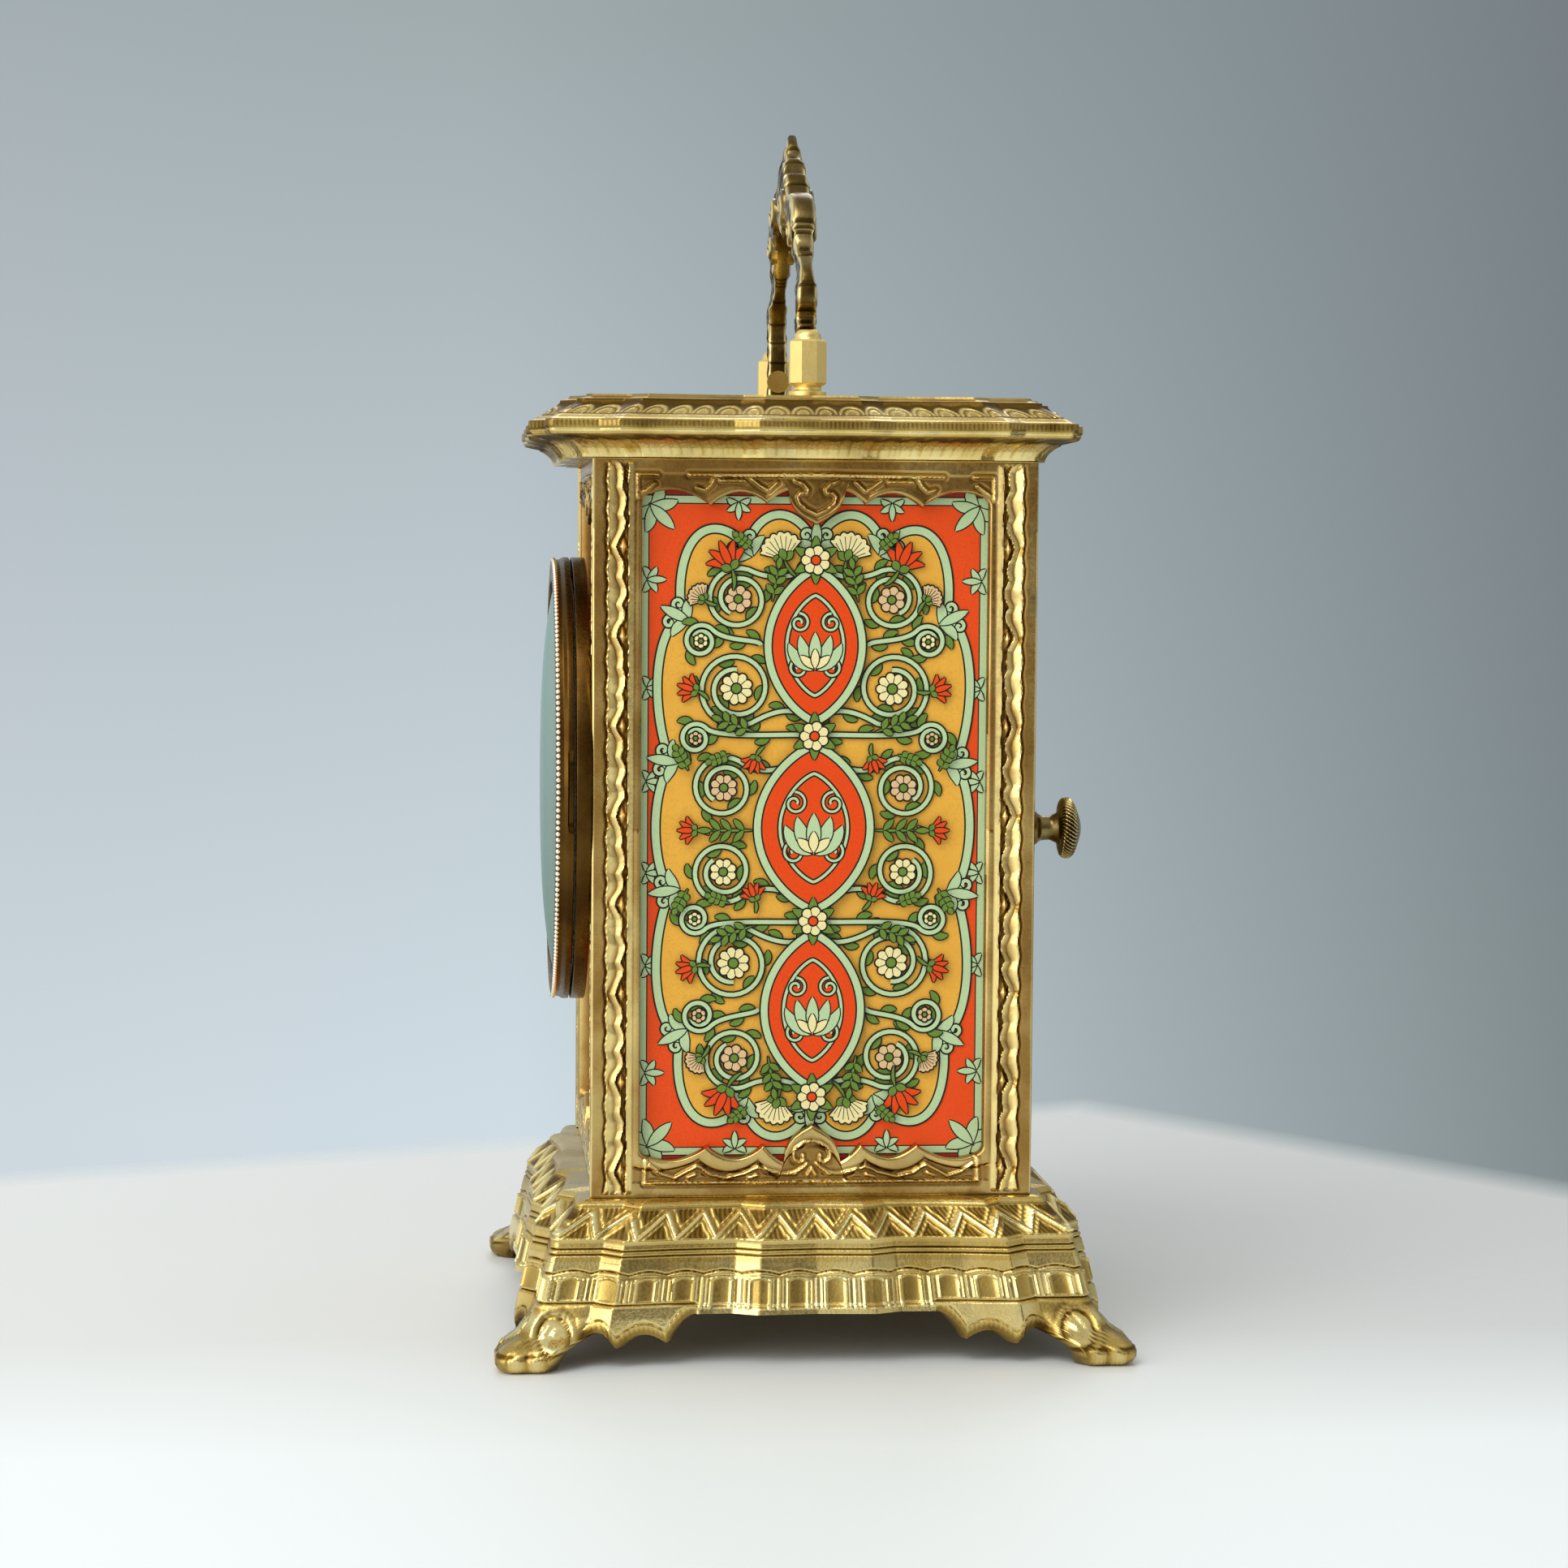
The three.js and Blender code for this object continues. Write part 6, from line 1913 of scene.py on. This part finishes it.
@dataclass
class Fittings:
    """The octagonal pillars and the milled door knob."""

    lid_top: float = 141.9
    pillar_x: float = 27.6
    pillar_half: float = 2.7  # from the middle of an octagonal pillar to a flat
    chamfer: float = 0.35
    knob: tuple = (28.3, 33.0, 77.95)  # where its stem meets the door
    milling: int = 44  # ridges round the knob

    def pillar(self, name: str, side: int) -> Piece:
        """An octagonal pillar with a washer and a neck below and a button on top.

        Args:
            name: its side as a word.
            side: -1 for the left and 1 for the right.

        Returns:
            The piece.
        """
        centre = (side * self.pillar_x, LID_Y, self.lid_top)
        corner = self.pillar_half / math.cos(math.pi / 8)
        shaft = [
            (0, 1.8), (corner - self.chamfer, 1.8), (corner, 2.1), (corner, 8.2),
            (corner - self.chamfer, 8.5), (0, 8.5),
        ]
        stem = [
            (0, -1.0), (2.8, 0), (2.8, 0.9), (2.2, 0.95), (2.0, 1.4), (2.2, 1.85), (2.2, 8.4),
            (2.0, 8.8), (1.9, 9.4), (1.3, 10.0), (0, 10.0),
        ]
        body = turned(np.array(shaft), 8, (0, 0, 0), upright=True)
        body = body.moved(Matrix.Translation(centre) @ Matrix.Rotation(math.pi / 8, 4, "Z"))
        post = turned(eased(stem, 0.2), 64, centre, upright=True)
        node = f"handle_pillar_{name}"
        return Piece(
            f"pillar_{name}", [body, post], [Finish.POLISHED], Body.CASE, Slot.BRASS, (node,), sharp=25
        )

    def door_knob(self) -> Piece:
        """The door knob: a waisted stem and a milled head with slanting ridges.

        Returns:
            The piece.
        """
        stem = [
            (0, -2.1), (0.9, -2.1), (0.9, 0), (2.6, 0), (2.6, 0.7), (1.9, 1.5), (1.8, 3.0),
            (2.4, 4.2), (4.1, 4.6), (4.4, 5.1), (4.4, 6.0), (3.9, 6.5), (2.6, 7.1), (1.1, 7.6),
            (0, 7.6),
        ]
        patch = turned(resampled(eased(stem, 0.3), 110), 8 * self.milling, (0, 0, 0))
        x, y, z = np.moveaxis(patch.points, -1, 0)
        head = within(y, (4.2, 4.5), (6.9, 7.2)) * step(2.6, 3.2, np.hypot(x, z))
        milled = head * sawtooth((np.arctan2(z, x) * self.milling + y * 7.0) / TURN)
        patch.points[..., ::2] *= 1 + 0.05 * milled[..., None]
        patch.tone = 0.5 + 0.06 * np.sin(y) + 0.3 * milled
        patch.points += self.knob
        return Piece("knob", [patch], [Finish.AGED], Body.DOOR, Slot.BRASS, ("door_knob",))

    def pieces(self) -> list[Piece]:
        """Both pillars and the knob."""
        return [self.pillar("right", 1), self.pillar("left", -1), self.door_knob()]


@dataclass
class Works:
    """The pieces whose solids are right as they are: the movement, screws, posts and pins."""

    turned_slots: tuple = (Slot.GILT, Slot.BRONZE)
    other_finishes: tuple = (
        (Slot.BRASS, Finish.BRASS), (Slot.STEEL, Finish.STEEL), (Slot.PRINT, Finish.GROUND),
        (Slot.GLASS, Finish.GLASS), (Slot.DIAL, Finish.ENAMEL), (Slot.BLUED, Finish.BLUED),
    )

    def dress(self) -> None:
        """Gives every node that still shows the finish of its slot."""
        finishes = dict.fromkeys(self.turned_slots, Finish.TURNED) | dict(self.other_finishes)
        slots = {row["node"]: Slot(row["material_slot"]) for row in frame["record"]["subparts"]}
        for name, node in frame["nodes"].items():
            if not node.hide_render:
                node.data.materials.clear()
                node.data.materials.append(material_of(finishes[slots[name]]))
                log.info("%s keeps its solid", name)


# Scene


@dataclass
class Studio:
    """Camera, lamps, table and the room around. Lamps and table are placed in metres."""

    lens: float = 80.27
    sensor: float = 36.0
    camera_at: tuple = (546.45, -52.05, 118.25)
    yaw_pitch_roll: tuple = (5.285, 3.711, 0.4216)
    aim: tuple = (0, 0, 0.09)
    lamps: tuple = (  # name, place, size and power
        ("window", (0.61, -0.83, 0.3), 0.9, 4.4),
        ("ceiling", (0.6, -0.45, 1.1), 0.7, 6.4),
        ("back", (-0.75, 0.1, 0.7), 0.5, 1.6),
    )
    corner: tuple = (-0.2082, 0.0855)  # far corner of the table
    edges: tuple = ((0.339, -0.941), (0.821, 0.571))  # the ways its two far edges run
    table_painted_light: tuple = ((222, 224, 222), (202, 204, 203), (236, 242, 242))  # left, right and near us: painted light, darker to the right and lighter near us
    wall_high: tuple = (
        (0, (164, 174, 179)), (0.3, (161, 172, 175)), (0.75, (136, 147, 151)), (1, (118, 126, 132))
    )
    wall_low: tuple = (
        (0, (206, 216, 223)), (0.33, (208, 221, 228)), (0.75, (163, 174, 178)), (1, (130, 141, 144))
    )
    ahead: tuple = (
        (0, (252, 252, 250)), (0.3, (212, 219, 222)), (0.436, (188, 198, 204)), (0.654, (132, 142, 146)),
        (0.8, (152, 160, 164)), (1, (166, 174, 178)),
    )
    behind: tuple = (
        (0, (255, 255, 252)), (0.18, (246, 244, 238)), (0.42, (226, 222, 214)), (0.51, (206, 202, 192)),
        (0.55, (132, 126, 114)), (0.68, (112, 104, 92)), (0.85, (164, 160, 152)), (1, (222, 224, 222)),
    )
    above: Colour = (214, 216, 216)
    below: Colour = (104, 96, 84)

    def camera(self) -> None:
        """A camera where the photograph was taken from."""
        yaw, pitch, roll = (math.radians(value) for value in self.yaw_pitch_roll)
        level = math.cos(pitch)
        ahead = Vector((-level * math.cos(yaw), level * math.sin(yaw), -math.sin(pitch)))
        right = ahead.cross(Vector((0, 0, 1))).normalized()
        up = right.cross(ahead)
        tilted = math.cos(roll) * right + math.sin(roll) * up
        upright = -math.sin(roll) * right + math.cos(roll) * up
        data = bpy.data.cameras.new("camera")
        data.lens, data.sensor_width = self.lens, self.sensor
        data.clip_start, data.clip_end = 0.01, 20
        made = linked("camera", data)
        turn = Matrix((tilted, upright, -ahead)).transposed().to_4x4()
        made.matrix_world = Matrix.Translation(Vector(self.camera_at) * MM) @ turn
        bpy.context.scene.camera = made

    def lamp(self, name: str, place: tuple, size: float, power: float) -> None:
        """A square soft lamp that faces the clock.

        Args:
            name: of the lamp.
            place: in metres.
            size: of its side, in metres.
            power: in watts.
        """
        data = bpy.data.lights.new(name, "AREA")
        data.shape, data.size, data.energy = "SQUARE", size, power
        made = linked(name, data)
        made.location = place
        made.rotation_euler = (Vector(self.aim) - Vector(place)).to_track_quat("-Z", "Y").to_euler()

    def surface(self) -> None:
        """The table: a white quadrangle whose far edges fade out, as they are out of focus."""
        corner, (one, other) = np.array(self.corner), np.array(self.edges)
        flat = np.array([corner, corner + 2 * one, corner + 2 * (one + other), corner + 2 * other])
        nodes = Nodes(bpy.data.materials.new("table"))
        place = nodes.places["Object"]
        x, y, _ = nodes.add("SeparateXYZ", {0: place}).node.outputs
        near = []
        for edge, inwards in ((one, other), (other, one)):
            square = np.array([-edge[1], edge[0]])
            square *= np.sign(square @ inwards)
            gap = nodes.add("VectorMath", {0: place, 1: [*square, 0]}, "Value", operation="DOT_PRODUCT")
            near.append(nodes.math("SUBTRACT", gap, float(square @ corner)))
        inside = nodes.remap(nodes.math("MINIMUM", *near), (0.0, 0.018))
        # Painted light: the table drawn darker towards the right and lighter towards the camera.
        left, right, front = self.table_painted_light
        tone = nodes.mix(nodes.remap(y, (-0.12, 0.2)), left, right)
        tone = nodes.mix(nodes.remap(x, (0.022, 0.09)), tone, front)
        speck = nodes.remap(nodes.noise(1.6, 4.0), MIDST, (0.5, 0.56))
        nodes.set(Base_Color=tone, Roughness=speck, Alpha=inside)
        mesh = bpy.data.meshes.new("table")
        mesh.from_pydata(np.insert(flat, 2, 0, axis=1).tolist(), [], [(0, 1, 2, 3)])
        mesh.materials.append(nodes.owner)
        linked("table", mesh)

    def world(self) -> None:
        """The room: a grey wall that the camera sees, and the light that the clock sees.

        The wall grows darker to the right and paler downwards. Round the clock the room is bright
        at both sides and above, and darker behind the camera.
        """
        bpy.context.scene.world = bpy.data.worlds.new("world")
        nodes = Nodes(bpy.context.scene.world)
        x, y, z = nodes.add("SeparateXYZ", {0: nodes.places["Generated"]}).node.outputs
        right, across = nodes.remap(y, (-0.127, 0.307)), nodes.remap(y, (-1.0, 1.0))
        high, low = nodes.ramp(right, self.wall_high), nodes.ramp(right, self.wall_low)
        wall = nodes.mix(nodes.remap(z, (0.15, -0.16)), high, low)
        ahead, behind = nodes.ramp(across, self.ahead), nodes.ramp(across, self.behind)
        level = nodes.mix(nodes.remap(x, (-0.15, 0.2)), ahead, behind)
        upper = nodes.mix(nodes.remap(z, (0.3, 0.9)), level, self.above)
        light = nodes.mix(nodes.remap(z, (-0.02, -0.3)), upper, self.below)
        rays = nodes.add("LightPath").node.outputs
        seen = nodes.math("MAXIMUM", rays["Is Camera Ray"], rays["Is Transmission Ray"])
        nodes.feed(nodes.tree.nodes["Background"].inputs["Color"], nodes.mix(seen, light, wall))

    def build(self) -> None:
        """Sets the whole stage."""
        self.camera()
        self.surface()
        self.world()
        for lamp in self.lamps:
            self.lamp(*lamp)


def main() -> None:
    """Builds the clock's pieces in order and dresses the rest."""
    logging.basicConfig(level=logging.INFO, format="%(message)s")
    bpy.context.scene.view_settings.view_transform = "Standard"
    Studio().build()
    for part in (Base(), Lid(), Panels(), DialSide(), Handle(), Fittings()):
        for piece in part.pieces():
            piece.build()
    Works().dress()


if __name__ == "__main__":
    main()
